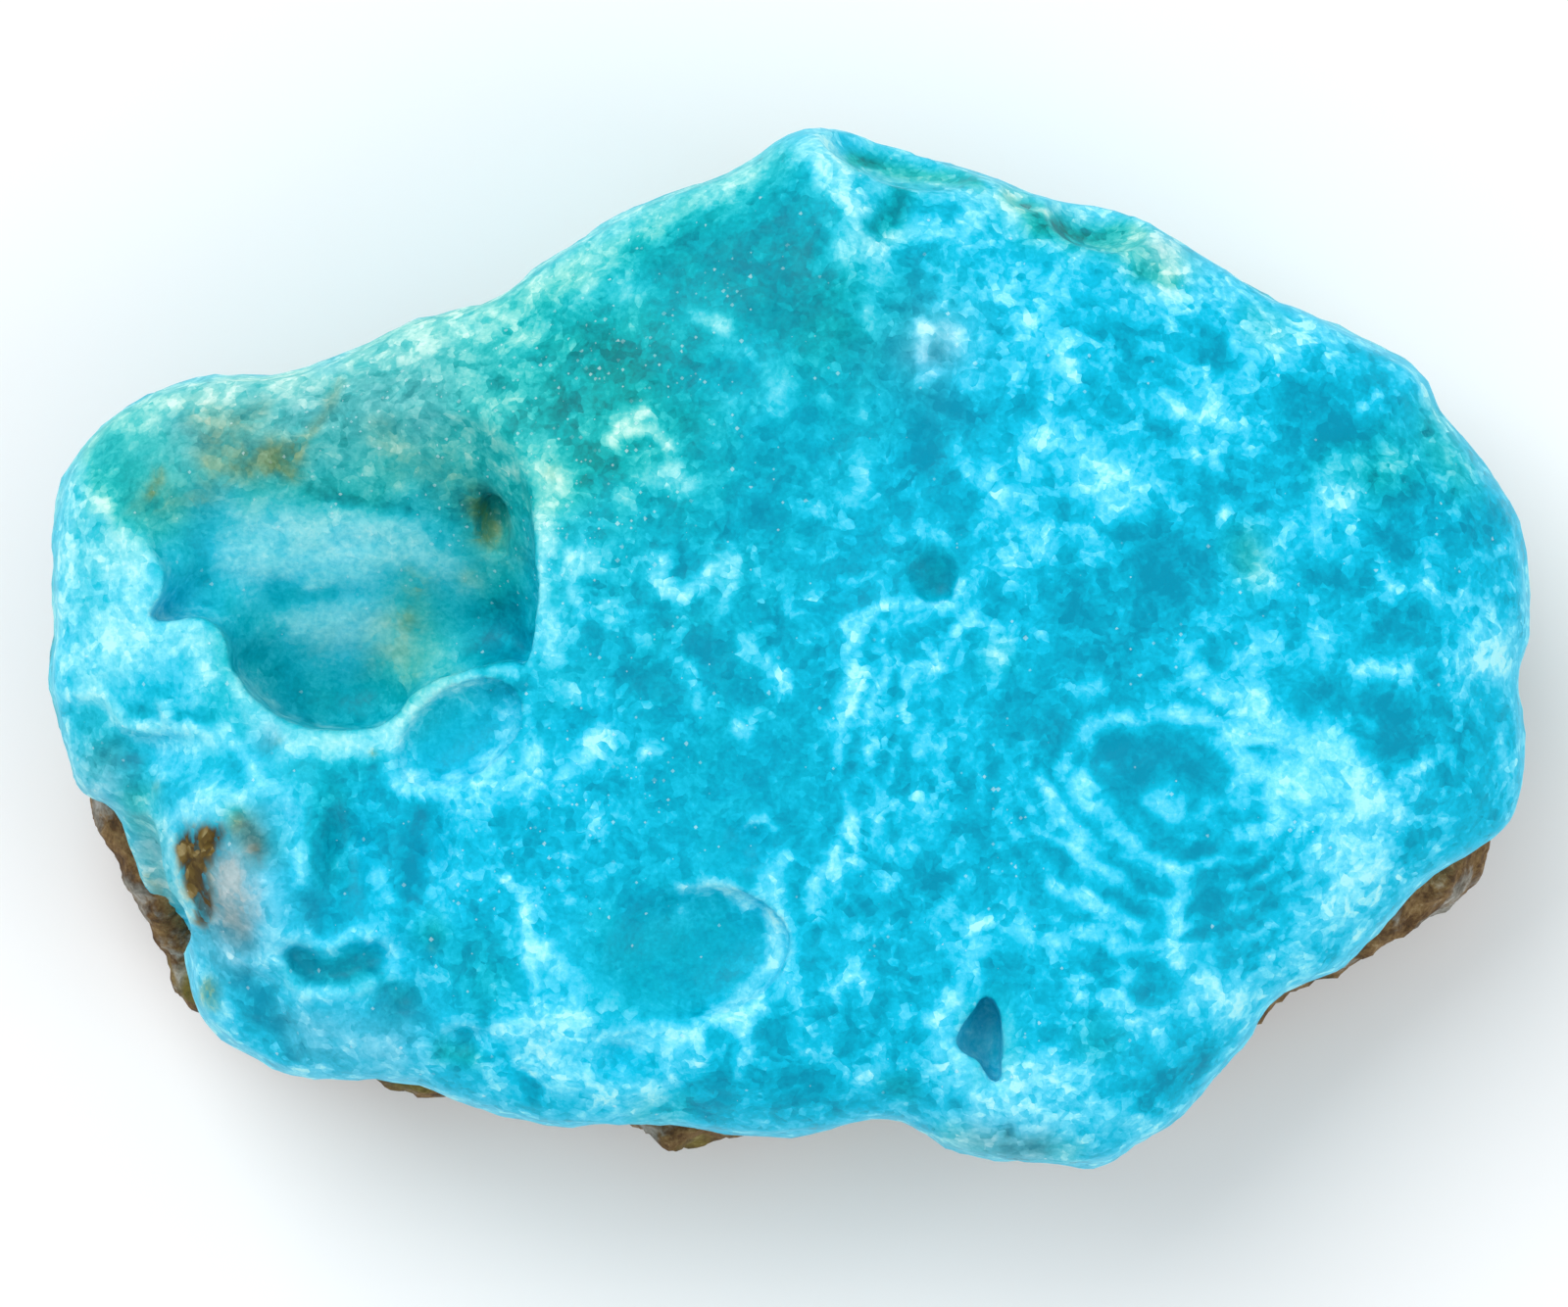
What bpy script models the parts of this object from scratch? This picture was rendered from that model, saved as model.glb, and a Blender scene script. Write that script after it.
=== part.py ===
"""A worn, hand-sized piece of blue aragonite on a rind of the brown rock that it grew on.

The stone lies on its back, with its smooth face up. +X runs to the right of the face, +Y to its top
edge and +Z up out of it. The origin is on the surface that the stone rests on, under the middle of
its outline. Sizes below are in millimetres, and MM turns them into Blender's metres.
"""

import math

import bmesh
import bpy
import numpy as np
from mathutils import Matrix, Vector, noise

MM = 0.001

# Driving dimensions of the stone: the heights of its face, widest outline and back, how far the
# height of that outline wanders, its rounded edges, how far face and back are drawn in from the
# outline as parts of one, and how uneven its sides are
FACE_HEIGHT = 26.0
WAIST_HEIGHT = 14.0
WAIST_WANDER = 3.0
BACK_HEIGHT = 4.0
EDGE_RADIUS = 2.0
WORN_EDGE = 8.0
WORN_DROP = 2.4
FACE_INSET = 0.035
BACK_INSET = 0.10
UNEVENNESS = 0.03

# How much lower the face is at its ends and its long edges, and on the planes it is worn into
CROWN = (2.2, 1.2)
HALF_SIZE = (40.0, 28.0)
LEFT_END_DROP = 1.6
UPPER_LEFT_DROP = 2.4
UPPER_RIGHT_DROP = 1.0

# The back: how far the rock fills it in, how it tips and how it thickens under the top edge
BACK_LIFT = 2.6
BACK_TIP = 0.02
BACK_LIP = 1.6

# Lumps as pairs of width and height
FACE_LUMPS = [(13.0, 0.45), (5.0, 0.22)]
BACK_LUMPS = [(11.0, 1.3)]
ROCK_LUMPS = [(8.0, 1.1), (3.5, 0.7)]
ROCK_EDGE_LUMPS = [(5.0, 0.8), (2.2, 0.4)]

# The host rock: its height at the slab's edge, how far it is sunk there, its raised underside, how
# deep it is worn where it rests, and the room between rock and stone
ROCK_HEIGHT = 13.0
ROCK_SUNK = 4.0
UNDERSIDE_LIFT = 1.8
UNDERSIDE_WEAR = 0.8
GAP = 0.4

# How finely each solid is meshed before it is thinned out
COARSE_VOXEL = 0.9
FINE_VOXEL = 0.6
STONE_TRIANGLES = 6000
ROCK_TRIANGLES = 2400

STONE_COLOUR = (0.02, 0.42, 0.60, 1.0)
ROCK_COLOUR = (0.16, 0.10, 0.06, 1.0)

# The widest outline of the blue stone, clockwise from its highest point
STONE_OUTLINE = [
    (1.3, 28.0), (5.1, 27.0), (10.4, 25.4), (13.8, 24.1), (18.1, 23.3), (21.0, 21.9), (26.3, 18.7),
    (28.9, 17.7), (31.5, 16.4), (34.3, 14.6), (35.2, 12.7), (36.8, 11.0), (38.0, 9.3), (39.2, 7.5),
    (39.8, 5.0), (40.0, 2.5), (40.0, 0.7), (39.5, -1.4), (39.7, -3.9), (39.5, -7.4), (38.9, -9.4),
    (37.6, -10.7), (34.2, -12.8), (32.2, -15.0), (29.6, -17.2), (26.0, -19.1), (24.7, -21.2),
    (22.4, -24.0), (21.0, -25.6), (18.8, -26.9), (16.8, -28.0), (13.0, -27.8), (8.5, -27.1),
    (6.8, -25.8), (5.0, -25.5), (0.9, -26.2), (-2.3, -26.4), (-6.8, -25.7), (-10.0, -25.8),
    (-13.9, -25.6), (-17.1, -24.7), (-20.3, -23.6), (-24.0, -23.3), (-26.6, -23.1), (-29.3, -22.0),
    (-31.1, -20.7), (-32.0, -19.3), (-32.3, -17.6), (-32.5, -16.4), (-33.3, -14.6), (-34.6, -13.7),
    (-35.1, -12.4), (-35.5, -10.6), (-36.3, -8.8), (-37.7, -8.2), (-38.5, -7.4), (-38.8, -6.2),
    (-39.7, -3.1), (-40.0, -1.8), (-39.7, 0.5), (-39.7, 3.2), (-39.5, 7.0), (-39.2, 8.8),
    (-37.9, 11.1), (-35.6, 13.1), (-31.9, 14.4), (-26.6, 14.8), (-24.1, 15.7), (-20.3, 17.4),
    (-16.0, 18.7), (-13.4, 20.4), (-10.8, 22.1), (-6.5, 24.3), (-1.9, 26.1), (-0.1, 27.5),
]

# The outline of the host rock, which shows past the stone at the lower left, bottom and lower right
ROCK_OUTLINE = [
    (37.4, -6.0), (38.4, -9.4), (38.1, -10.9), (37.3, -12.2), (36.5, -13.6), (34.4, -15.1),
    (32.2, -16.3), (30.2, -17.6), (27.6, -19.0), (26.0, -20.2), (22.5, -22.4), (18.0, -25.0),
    (12.0, -25.6), (5.0, -24.2), (0.5, -25.6), (-3.6, -27.1), (-7.3, -27.1), (-9.6, -26.4),
    (-11.5, -24.4), (-15.0, -23.6), (-18.7, -24.5), (-20.6, -24.8), (-22.8, -23.8), (-27.0, -21.4),
    (-30.5, -20.4), (-32.6, -19.4), (-33.8, -17.4), (-34.8, -15.6), (-35.5, -14.0), (-36.5, -12.5),
    (-37.4, -11.0), (-38.4, -9.3), (-38.6, -7.8), (-37.2, -4.5), (-36.0, -1.0), (-36.6, 3.6),
    (-33.0, 7.8), (-26.0, 7.2), (-20.0, 10.2), (-12.0, 9.0), (-6.0, 13.0), (3.0, 11.2),
    (9.0, 14.2), (17.0, 11.0), (24.0, 9.4), (31.0, 6.2), (35.6, 1.0), (36.0, -2.5),
]

# Where the rock rises past the stone: centre, radii and height
ROCK_CORNERS = [
    ((-35.0, -13.0), (4.0, 8.0), 5.0),
    ((34.0, -14.0), (6.0, 4.0), 3.6),
]

# Where the rock is worn flat and the whole stone rests
RESTING_SPOTS = [(-25.0, -9.0), (24.0, -8.0), (3.0, 4.0), (-4.0, -18.0)]
RESTING_RADII = (7.0, 5.5)

# The rim of the big hollow. Its upper side fades out on the face, and the rest is a crisp lip.
BOWL_RIM = [
    (-36.0, 7.3), (-34.6, 5.4), (-33.0, 4.0), (-33.4, 2.4), (-33.9, 1.4), (-32.3, 1.4), (-30.4, 1.2),
    (-29.7, 0.3), (-29.5, -1.2), (-28.4, -2.7), (-27.2, -3.6), (-26.2, -4.1), (-24.4, -4.5),
    (-22.4, -4.5), (-21.0, -4.0), (-20.0, -2.8), (-19.0, -2.1), (-17.0, -1.3), (-15.3, -0.9),
    (-14.6, -0.7), (-13.8, -1.0), (-13.4, 0.0), (-13.2, 1.5), (-13.2, 4.0), (-13.5, 6.4),
    (-13.8, 8.5), (-15.0, 12.5), (-20.0, 16.0), (-28.0, 15.5), (-35.0, 12.5), (-37.5, 9.5),
]
BOWL_LOWEST_POINT = (-23.0, -4.6, 13.0)
BOWL_SLOPE = 0.58
BOWL_CURVE = 0.010
BOWL_FILLET = 2.4

# The lens-shaped pit near the bottom edge
LENS_RIM = [
    (10.4, -18.4), (11.1, -19.2), (11.3, -20.5), (11.3, -22.0), (11.1, -23.2), (10.6, -22.8),
    (10.0, -21.9), (9.2, -21.5), (8.8, -20.9), (9.0, -20.2), (9.8, -19.2),
]
LENS_FLOOR = 19.0
LENS_SLOPE = 0.6
LENS_FILLET = 0.6

# The step down at the lower left corner, beside the lump, where the stone ends in a smooth ramp
CORNER_RIM = [
    (-42.0, -9.5), (-38.0, -8.8), (-35.6, -8.6), (-33.7, -9.2), (-33.4, -10.5), (-33.2, -12.2),
    (-32.8, -13.2), (-32.1, -14.2), (-31.9, -15.6), (-32.6, -16.8), (-37.0, -19.0), (-42.0, -16.0),
]
CORNER_TOP = (-33.7, -9.0, 19.0)
CORNER_SLOPE = (0.35, 1.25)
CORNER_FILLET = 0.8

# Scoops that cut into the face: centre, radii, turn about Z and lean towards the steep side, in degrees
SCOOPS = {
    "oval_scoop": ((-17.5, -4.9, 25.2), (2.9, 2.1, 1.5), -40, 20),
    "saucer": ((-5.3, -16.3, 25.7), (5.6, 3.6, 2.1), 12, 10),
    "upper_dimple": ((7.5, 3.7, 26.7), (1.9, 1.6, 1.3), -50, 20),
    "lower_dimple": ((-2.3, -10.6, 26.3), (1.6, 1.5, 1.2), 40, 18),
    "olive_pit": ((-15.6, 6.8, 19.6), (0.9, 1.9, 2.0), 0, 0),
    "first_pocket": ((6.4, 28.2, 22.5), (5.6, 3.9, 4.6), -18, 0),
    "second_pocket": ((13.2, 25.6, 22.5), (2.4, 2.5, 4.0), -32, 0),
    "third_pocket": ((17.0, 24.8, 22.0), (3.8, 3.9, 4.6), -12, 0),
    "fourth_pocket": ((19.0, 19.9, 25.2), (2.4, 0.9, 1.6), -22, 0),
}

# Soft dents and swellings of the face: centre, radii and height
SWELLINGS = [
    ((-30.2, -12.4), (3.6, 4.4), 3.0),
    ((-31.5, -8.2), (2.6, 1.4), 0.7),
    ((-26.0, -10.2), (1.1, 3.8), 0.8),
    ((-35.0, -5.6), (2.2, 1.3), -1.4),
    ((-22.1, -17.0), (1.8, 1.0), -1.1),
    ((-26.3, -17.2), (1.0, 1.2), -0.9),
    ((-20.5, -18.8), (1.4, 0.9), -0.9),
    ((-17.4, -21.4), (1.2, 0.7), -1.0),
    ((-24.1, -11.2), (1.4, 2.2), -1.1),
    ((-28.0, -9.6), (1.2, 1.3), -1.0),
    ((-19.4, -11.2), (0.8, 2.6), -1.0),
    ((-27.6, -21.2), (1.6, 1.0), -0.7),
    ((-8.9, -21.9), (1.2, 0.9), -0.7),
    ((-13.9, -22.9), (0.9, 1.6), -0.7),
    ((5.8, 22.6), (1.2, 1.6), -0.6),
    ((3.2, 22.8), (1.6, 4.0), 0.5),
    ((1.3, 26.5), (2.2, 2.2), 0.7),
    ((-3.0, -23.0), (2.4, 2.0), 0.4),
    ((16.0, -5.6), (2.4, 2.0), -0.4),
    ((38.0, 0.0), (2.0, 1.6), 0.5),
]


def bumps(points, size, seed):
    """Smooth noise between -1 and 1 at each point, for lumps about as wide as size."""
    shift = Vector((seed * 17.3, seed * 9.1, seed * 5.7))
    return np.array([noise.noise(Vector(point) / size + shift) for point in points])


def lumps(points, kinds, seed):
    """The height of lumps of several kinds, each given by its width and height."""
    return sum(height * bumps(points, size, seed + i) for i, (size, height) in enumerate(kinds))


def hump(points, centre, radii):
    """A bell of height 1 above its centre, seen from above."""
    x = (points[:, 0] - centre[0]) / radii[0]
    y = (points[:, 1] - centre[1]) / radii[1]
    return np.exp(-(x * x + y * y))


def edge_distance(points, outline):
    """Distance from the outline, seen from above."""
    start = np.array(outline)
    step = np.roll(start, -1, axis=0) - start
    offset = points[:, None, :2] - start
    along = np.clip((offset * step).sum(axis=2) / (step * step).sum(axis=1), 0.0, 1.0)
    return np.linalg.norm(offset - along[:, :, None] * step, axis=2).min(axis=1)


def ramp(values, start, end):
    """Rises smoothly from 0 at start to 1 at end."""
    t = np.clip((values - start) / (end - start), 0.0, 1.0)
    return t * t * (3.0 - 2.0 * t)


def apply_modifiers(obj):
    """Replaces the object's mesh, or its curve, with what its modifiers make of it."""
    graph = bpy.context.evaluated_depsgraph_get()
    mesh = bpy.data.meshes.new_from_object(obj.evaluated_get(graph))
    work = bmesh.new()
    work.from_mesh(mesh)
    bmesh.ops.remove_doubles(work, verts=work.verts, dist=0.00001)
    bmesh.ops.recalc_face_normals(work, faces=work.faces)
    work.to_mesh(mesh)
    work.free()
    name, collection = obj.name, obj.users_collection[0]
    bpy.data.objects.remove(obj)
    solid = bpy.data.objects.new(name, mesh)
    collection.objects.link(solid)
    return solid


def remesh(obj, voxel):
    """Gives the object an even mesh with cells of the voxel's size."""
    modifier = obj.modifiers.new("Remesh", "REMESH")
    modifier.mode = "VOXEL"
    modifier.voxel_size = voxel * MM
    modifier.use_smooth_shade = True


def slab(name, outline, low, high, radius, collection):
    """A slab with a smooth outline between two heights, with edges rounded to the radius."""
    data = bpy.data.curves.new(name, "CURVE")
    data.dimensions = "2D"
    data.fill_mode = "BOTH"
    data.resolution_u = 5
    data.extrude = ((high - low) / 2 - radius) * MM
    data.bevel_depth = radius * MM
    data.bevel_resolution = 4
    data.offset = -radius * MM
    spline = data.splines.new("BEZIER")
    spline.bezier_points.add(len(outline) - 1)
    spline.use_cyclic_u = True
    for knot, (x, y) in zip(spline.bezier_points, outline):
        knot.co = (x * MM, y * MM, 0.0)
        knot.handle_left_type = "AUTO"
        knot.handle_right_type = "AUTO"
    obj = bpy.data.objects.new(name, data)
    collection.objects.link(obj)
    solid = apply_modifiers(obj)
    solid.data.transform(Matrix.Translation((0.0, 0.0, (low + high) / 2 * MM)))
    return solid


def sculpt(obj, form):
    """Moves every vertex to where form, which takes and returns an array in millimetres, puts it."""
    mesh = obj.data
    points = np.empty(len(mesh.vertices) * 3)
    mesh.vertices.foreach_get("co", points)
    points = form(points.reshape(-1, 3) / MM) * MM
    mesh.vertices.foreach_set("co", points.ravel())
    mesh.update()


def face_level(points):
    """How far the face lies above or below its nominal height: its planes, crown, lump and dents."""
    x, y = points[:, 0], points[:, 1]
    level = -CROWN[0] * (x / HALF_SIZE[0]) ** 2 - CROWN[1] * (y / HALF_SIZE[1]) ** 2
    level -= LEFT_END_DROP * ramp(-x, 14.0, 38.0)
    level -= WORN_DROP * np.clip(1.0 - edge_distance(points, STONE_OUTLINE) / WORN_EDGE, 0.0, 1.0) ** 2
    level -= UPPER_LEFT_DROP * ramp(-x, -4.0, 26.0) * ramp(y, 6.0, 20.0)
    level -= UPPER_RIGHT_DROP * ramp(x + y, 24.0, 46.0)
    for centre, radii, height in SWELLINGS:
        level += height * hump(points, centre, radii)
    return level + lumps(points * (1, 1, 0), FACE_LUMPS, 1)


def back_level(points):
    """How far the hidden back lies above its nominal height, high where the host rock fills it in."""
    x, y = points[:, 0], points[:, 1]
    filled = ramp(-y, -16.0, -8.0)
    level = (BACK_LIFT + BACK_TIP * x) * filled - BACK_LIP * ramp(y, 14.0, 22.0)
    return level + lumps(points * (1, 1, 0), BACK_LUMPS, 3)


def stone_form(points):
    """The slab's points moved to the stone's crowned face, bulging uneven sides and hollowed back."""
    x, y, z = points.T
    waist = WAIST_HEIGHT + WAIST_WANDER * bumps(points * (1, 1, 0), 22.0, 8)
    low = np.clip((waist - z) / (waist - BACK_HEIGHT), 0.0, 1.0)
    high = np.clip((z - waist) / (FACE_HEIGHT - waist), 0.0, 1.0)
    side = 1.0 - BACK_INSET * low ** 2 - FACE_INSET * high ** 3
    side += UNEVENNESS * low * bumps(points, 9.0, 4)
    side += 0.3 * UNEVENNESS * high * bumps(points, 6.0, 9)
    lift = high * face_level(points) + low * back_level(points)
    return np.column_stack([x * side, y * side, z + lift])


def rock_form(points):
    """The rock's slab made lumpy, high where it shows past the stone and low where it rests."""
    x, y, z = points.T
    up = z / ROCK_HEIGHT
    top = sum(height * hump(points, centre, radii) for centre, radii, height in ROCK_CORNERS)
    rests = np.max([hump(points, spot, RESTING_RADII) for spot in RESTING_SPOTS], axis=0)
    underside = UNDERSIDE_LIFT - (UNDERSIDE_LIFT + UNDERSIDE_WEAR) * rests
    uneven = lumps(points, ROCK_LUMPS, 5)
    side = 1.0 + lumps(points, ROCK_EDGE_LUMPS, 7) / np.hypot(x, y)
    lift = up * (top - ROCK_SUNK + uneven) + (1.0 - up) * (underside + uneven * (1.0 - rests))
    return np.column_stack([x * side, y * side, z + lift])


def bowl_floor(x, y):
    """Height of the big hollow's floor, which runs down from the upper edge to its lower lip."""
    down = y - BOWL_LOWEST_POINT[1]
    across = x - BOWL_LOWEST_POINT[0]
    return BOWL_LOWEST_POINT[2] + BOWL_SLOPE * down + BOWL_CURVE * across * across


def lens_floor(x, y):
    """Height of the lens-shaped pit's floor, lower at its straight right wall."""
    return LENS_FLOOR + LENS_SLOPE * (LENS_RIM[3][0] - x)


def corner_floor(x, y):
    """Height of the ramp at the lower left corner, which falls towards the corner."""
    return CORNER_TOP[2] + CORNER_SLOPE[0] * (x - CORNER_TOP[0]) + CORNER_SLOPE[1] * (y - CORNER_TOP[1])


def hollow(name, rim, floor, fillet, collection):
    """A cutter with the rim for its outline, upright walls and an underside that follows the floor."""
    thickness = 10.0
    above = FACE_HEIGHT + 6.0
    cutter = slab(name, rim, 0.0, thickness, 0.3, collection)
    remesh(cutter, FINE_VOXEL)
    cutter = apply_modifiers(cutter)

    def onto_floor(points):
        near_wall = np.clip(1.0 - edge_distance(points, rim) / (1.3 * fillet), 0.0, 1.0)
        level = floor(points[:, 0], points[:, 1]) + fillet * near_wall ** 2
        moved = points.copy()
        moved[:, 2] = level + (above - level) * points[:, 2] / thickness
        return moved

    sculpt(cutter, onto_floor)
    return cutter


def scoop(name, centre, radii, turn, lean, collection):
    """An ellipsoid cutter that leans into the face, so that one side of its cut is steep."""
    mesh = bpy.data.meshes.new(name)
    work = bmesh.new()
    bmesh.ops.create_uvsphere(work, u_segments=32, v_segments=20, radius=1.0)
    bmesh.ops.scale(work, verts=work.verts, vec=Vector(radii) * MM)
    work.to_mesh(mesh)
    work.free()
    cutter = bpy.data.objects.new(name, mesh)
    cutter.location = Vector(centre) * MM
    cutter.rotation_euler = (0.0, math.radians(lean), math.radians(turn))
    collection.objects.link(cutter)
    return cutter


def ground(collection):
    """A block from the resting surface down, which cuts flats into what reaches below that surface."""
    size = Vector((3.0 * HALF_SIZE[0], 3.0 * HALF_SIZE[1], ROCK_HEIGHT)) * MM
    mesh = bpy.data.meshes.new("ground")
    work = bmesh.new()
    bmesh.ops.create_cube(work, size=1.0)
    bmesh.ops.scale(work, verts=work.verts, vec=size)
    bmesh.ops.translate(work, verts=work.verts, vec=(0.0, 0.0, -size.z / 2))
    work.to_mesh(mesh)
    work.free()
    cutter = bpy.data.objects.new("ground", mesh)
    collection.objects.link(cutter)
    return cutter


def cut(obj, cutter):
    """Takes the cutter away from the object."""
    modifier = obj.modifiers.new("Cut " + cutter.name, "BOOLEAN")
    modifier.operation = "DIFFERENCE"
    modifier.object = cutter
    cutter.hide_render = True
    cutter.display_type = "WIRE"


def thin_out(obj, triangles):
    """Reduces the object to about this many triangles, keeping them where the surface turns."""
    graph = bpy.context.evaluated_depsgraph_get()
    now = obj.evaluated_get(graph).to_mesh()
    now.calc_loop_triangles()
    modifier = obj.modifiers.new("Decimate", "DECIMATE")
    modifier.ratio = triangles / len(now.loop_triangles)
    modifier.use_collapse_triangulate = True
    obj.evaluated_get(graph).to_mesh_clear()


def material(name, colour, roughness):
    """A Principled material of one colour."""
    made = bpy.data.materials.new(name)
    made.use_nodes = True
    shader = made.node_tree.nodes["Principled BSDF"]
    shader.inputs["Base Color"].default_value = colour
    shader.inputs["Roughness"].default_value = roughness
    shader.inputs["Metallic"].default_value = 0.0
    return made


def make_stone(parts, cutters):
    """The blue stone, with its hollows cut in."""
    stone = slab("blue_aragonite", STONE_OUTLINE, BACK_HEIGHT, FACE_HEIGHT, EDGE_RADIUS, parts)
    remesh(stone, COARSE_VOXEL)
    stone = apply_modifiers(stone)
    sculpt(stone, stone_form)
    cut(stone, hollow("bowl", BOWL_RIM, bowl_floor, BOWL_FILLET, cutters))
    cut(stone, hollow("lens_pit", LENS_RIM, lens_floor, LENS_FILLET, cutters))
    cut(stone, hollow("corner_step", CORNER_RIM, corner_floor, CORNER_FILLET, cutters))
    for name, (centre, radii, turn, lean) in SCOOPS.items():
        cut(stone, scoop(name, centre, radii, turn, lean, cutters))
    thin_out(stone, STONE_TRIANGLES)
    stone = apply_modifiers(stone)
    stone.data.materials.append(material("Blue aragonite", STONE_COLOUR, 0.45))
    return stone


def make_rock(parts, cutters, stone):
    """The host rock under the stone, hollowed to take its back and worn flat where it rests."""
    rock = slab("host_rock", ROCK_OUTLINE, 0.0, ROCK_HEIGHT, EDGE_RADIUS, parts)
    remesh(rock, COARSE_VOXEL)
    rock = apply_modifiers(rock)
    sculpt(rock, rock_form)
    thin_out(rock, ROCK_TRIANGLES)
    rock = apply_modifiers(rock)
    bed = bpy.data.objects.new("stone_bed", stone.data.copy())
    cutters.objects.link(bed)
    grow = bed.modifiers.new("Grow", "DISPLACE")
    grow.mid_level = 0.0
    grow.strength = GAP * MM
    cut(rock, bed)
    cut(rock, ground(cutters))
    rock.data.materials.append(material("Host rock", ROCK_COLOUR, 0.9))


def main():
    for obj in list(bpy.data.objects):
        bpy.data.objects.remove(obj)
    parts = bpy.data.collections.new("Blue aragonite")
    cutters = bpy.data.collections.new("Cutters")
    for collection in (parts, cutters):
        bpy.context.scene.collection.children.link(collection)
    stone = make_stone(parts, cutters)
    make_rock(parts, cutters, stone)


if __name__ == "__main__":
    main()
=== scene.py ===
"""The blue aragonite dressed: the stone and its host rock made again with a fine surface and their
colours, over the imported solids, and set on a pale floor under soft light.

Sizes are in millimetres in the solids' frame, and MM turns them into Blender's metres. +X runs to the
right of the stone's face, +Y to its pointed top edge and +Z up out of it.
"""

import math

import bmesh
import bpy
import numpy as np
from mathutils import Matrix, Vector, noise


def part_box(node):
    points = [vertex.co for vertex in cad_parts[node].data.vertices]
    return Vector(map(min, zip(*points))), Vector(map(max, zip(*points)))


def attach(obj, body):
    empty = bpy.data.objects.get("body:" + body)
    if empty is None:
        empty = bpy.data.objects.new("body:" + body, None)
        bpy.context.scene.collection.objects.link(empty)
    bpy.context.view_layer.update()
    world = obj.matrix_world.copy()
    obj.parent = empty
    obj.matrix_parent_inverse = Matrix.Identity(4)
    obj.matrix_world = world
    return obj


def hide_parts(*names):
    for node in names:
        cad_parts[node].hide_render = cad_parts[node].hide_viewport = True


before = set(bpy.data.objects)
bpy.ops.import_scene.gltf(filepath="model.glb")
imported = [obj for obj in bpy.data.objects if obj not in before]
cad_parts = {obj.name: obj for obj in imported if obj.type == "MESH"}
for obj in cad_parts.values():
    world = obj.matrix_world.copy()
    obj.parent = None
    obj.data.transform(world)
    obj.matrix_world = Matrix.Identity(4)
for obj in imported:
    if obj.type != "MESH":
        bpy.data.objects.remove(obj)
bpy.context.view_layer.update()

MM = 0.001

# Driving dimensions of the stone: the heights of its face, widest outline and back, how far the
# height of that outline wanders, its rounded edges, how far face and back are drawn in from the
# outline as parts of one, and how uneven its sides are
FACE_HEIGHT = 26.0
WAIST_HEIGHT = 14.0
WAIST_WANDER = 3.0
BACK_HEIGHT = 4.0
EDGE_RADIUS = 2.0
WORN_EDGE = 8.0
WORN_DROP = 2.4
FACE_INSET = 0.035
BACK_INSET = 0.10
UNEVENNESS = 0.03

# How much lower the face is at its ends and its long edges, and on the planes it is worn into
CROWN = (2.2, 1.2)
HALF_SIZE = (40.0, 28.0)
LEFT_END_DROP = 1.6
UPPER_LEFT_DROP = 2.4
UPPER_RIGHT_DROP = 1.0
# Where each plane starts and is lowest: along -X, along -X and Y, and along X and Y together
LEFT_END = (14.0, 38.0)
UPPER_LEFT = ((-4.0, 26.0), (6.0, 20.0))
UPPER_RIGHT = (24.0, 46.0)

# The back: how far the rock fills it in, how it tips and how it thickens under the top edge
BACK_LIFT = 2.6
BACK_TIP = 0.02
BACK_LIP = 1.6
# How far up the back, along Y, the rock's filling ends and the thick lip starts
FILLING_END = (8.0, 16.0)
LIP_START = (14.0, 22.0)

# Lumps as pairs of width and height
FACE_LUMPS = [(13.0, 0.45), (5.0, 0.22)]
BACK_LUMPS = [(11.0, 1.3)]
ROCK_LUMPS = [(8.0, 1.1), (3.5, 0.7)]
ROCK_EDGE_LUMPS = [(5.0, 0.8), (2.2, 0.4)]

# The host rock: its height at the slab's edge, how far it is sunk there, its raised underside and how
# deep it is worn where it rests
ROCK_HEIGHT = 13.0
ROCK_SUNK = 4.0
UNDERSIDE_LIFT = 1.8
UNDERSIDE_WEAR = 0.8

# The widest outline of the blue stone, clockwise from its highest point
STONE_OUTLINE = [
    (1.3, 28.0), (5.1, 27.0), (10.4, 25.4), (13.8, 24.1), (18.1, 23.3), (21.0, 21.9), (26.3, 18.7),
    (28.9, 17.7), (31.5, 16.4), (34.3, 14.6), (35.2, 12.7), (36.8, 11.0), (38.0, 9.3), (39.2, 7.5),
    (39.8, 5.0), (40.0, 2.5), (40.0, 0.7), (39.5, -1.4), (39.7, -3.9), (39.5, -7.4), (38.9, -9.4),
    (37.6, -10.7), (34.2, -12.8), (32.2, -15.0), (29.6, -17.2), (26.0, -19.1), (24.7, -21.2),
    (22.4, -24.0), (21.0, -25.6), (18.8, -26.9), (16.8, -28.0), (13.0, -27.8), (8.5, -27.1),
    (6.8, -25.8), (5.0, -25.5), (0.9, -26.2), (-2.3, -26.4), (-6.8, -25.7), (-10.0, -25.8),
    (-13.9, -25.6), (-17.1, -24.7), (-20.3, -23.6), (-24.0, -23.3), (-26.6, -23.1), (-29.3, -22.0),
    (-31.1, -20.7), (-32.0, -19.3), (-32.3, -17.6), (-32.5, -16.4), (-33.3, -14.6), (-34.6, -13.7),
    (-35.1, -12.4), (-35.5, -10.6), (-36.3, -8.8), (-37.7, -8.2), (-38.5, -7.4), (-38.8, -6.2),
    (-39.7, -3.1), (-40.0, -1.8), (-39.7, 0.5), (-39.7, 3.2), (-39.5, 7.0), (-39.2, 8.8),
    (-37.9, 11.1), (-35.6, 13.1), (-31.9, 14.4), (-26.6, 14.8), (-24.1, 15.7), (-20.3, 17.4),
    (-16.0, 18.7), (-13.4, 20.4), (-10.8, 22.1), (-6.5, 24.3), (-1.9, 26.1), (-0.1, 27.5),
]

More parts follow.
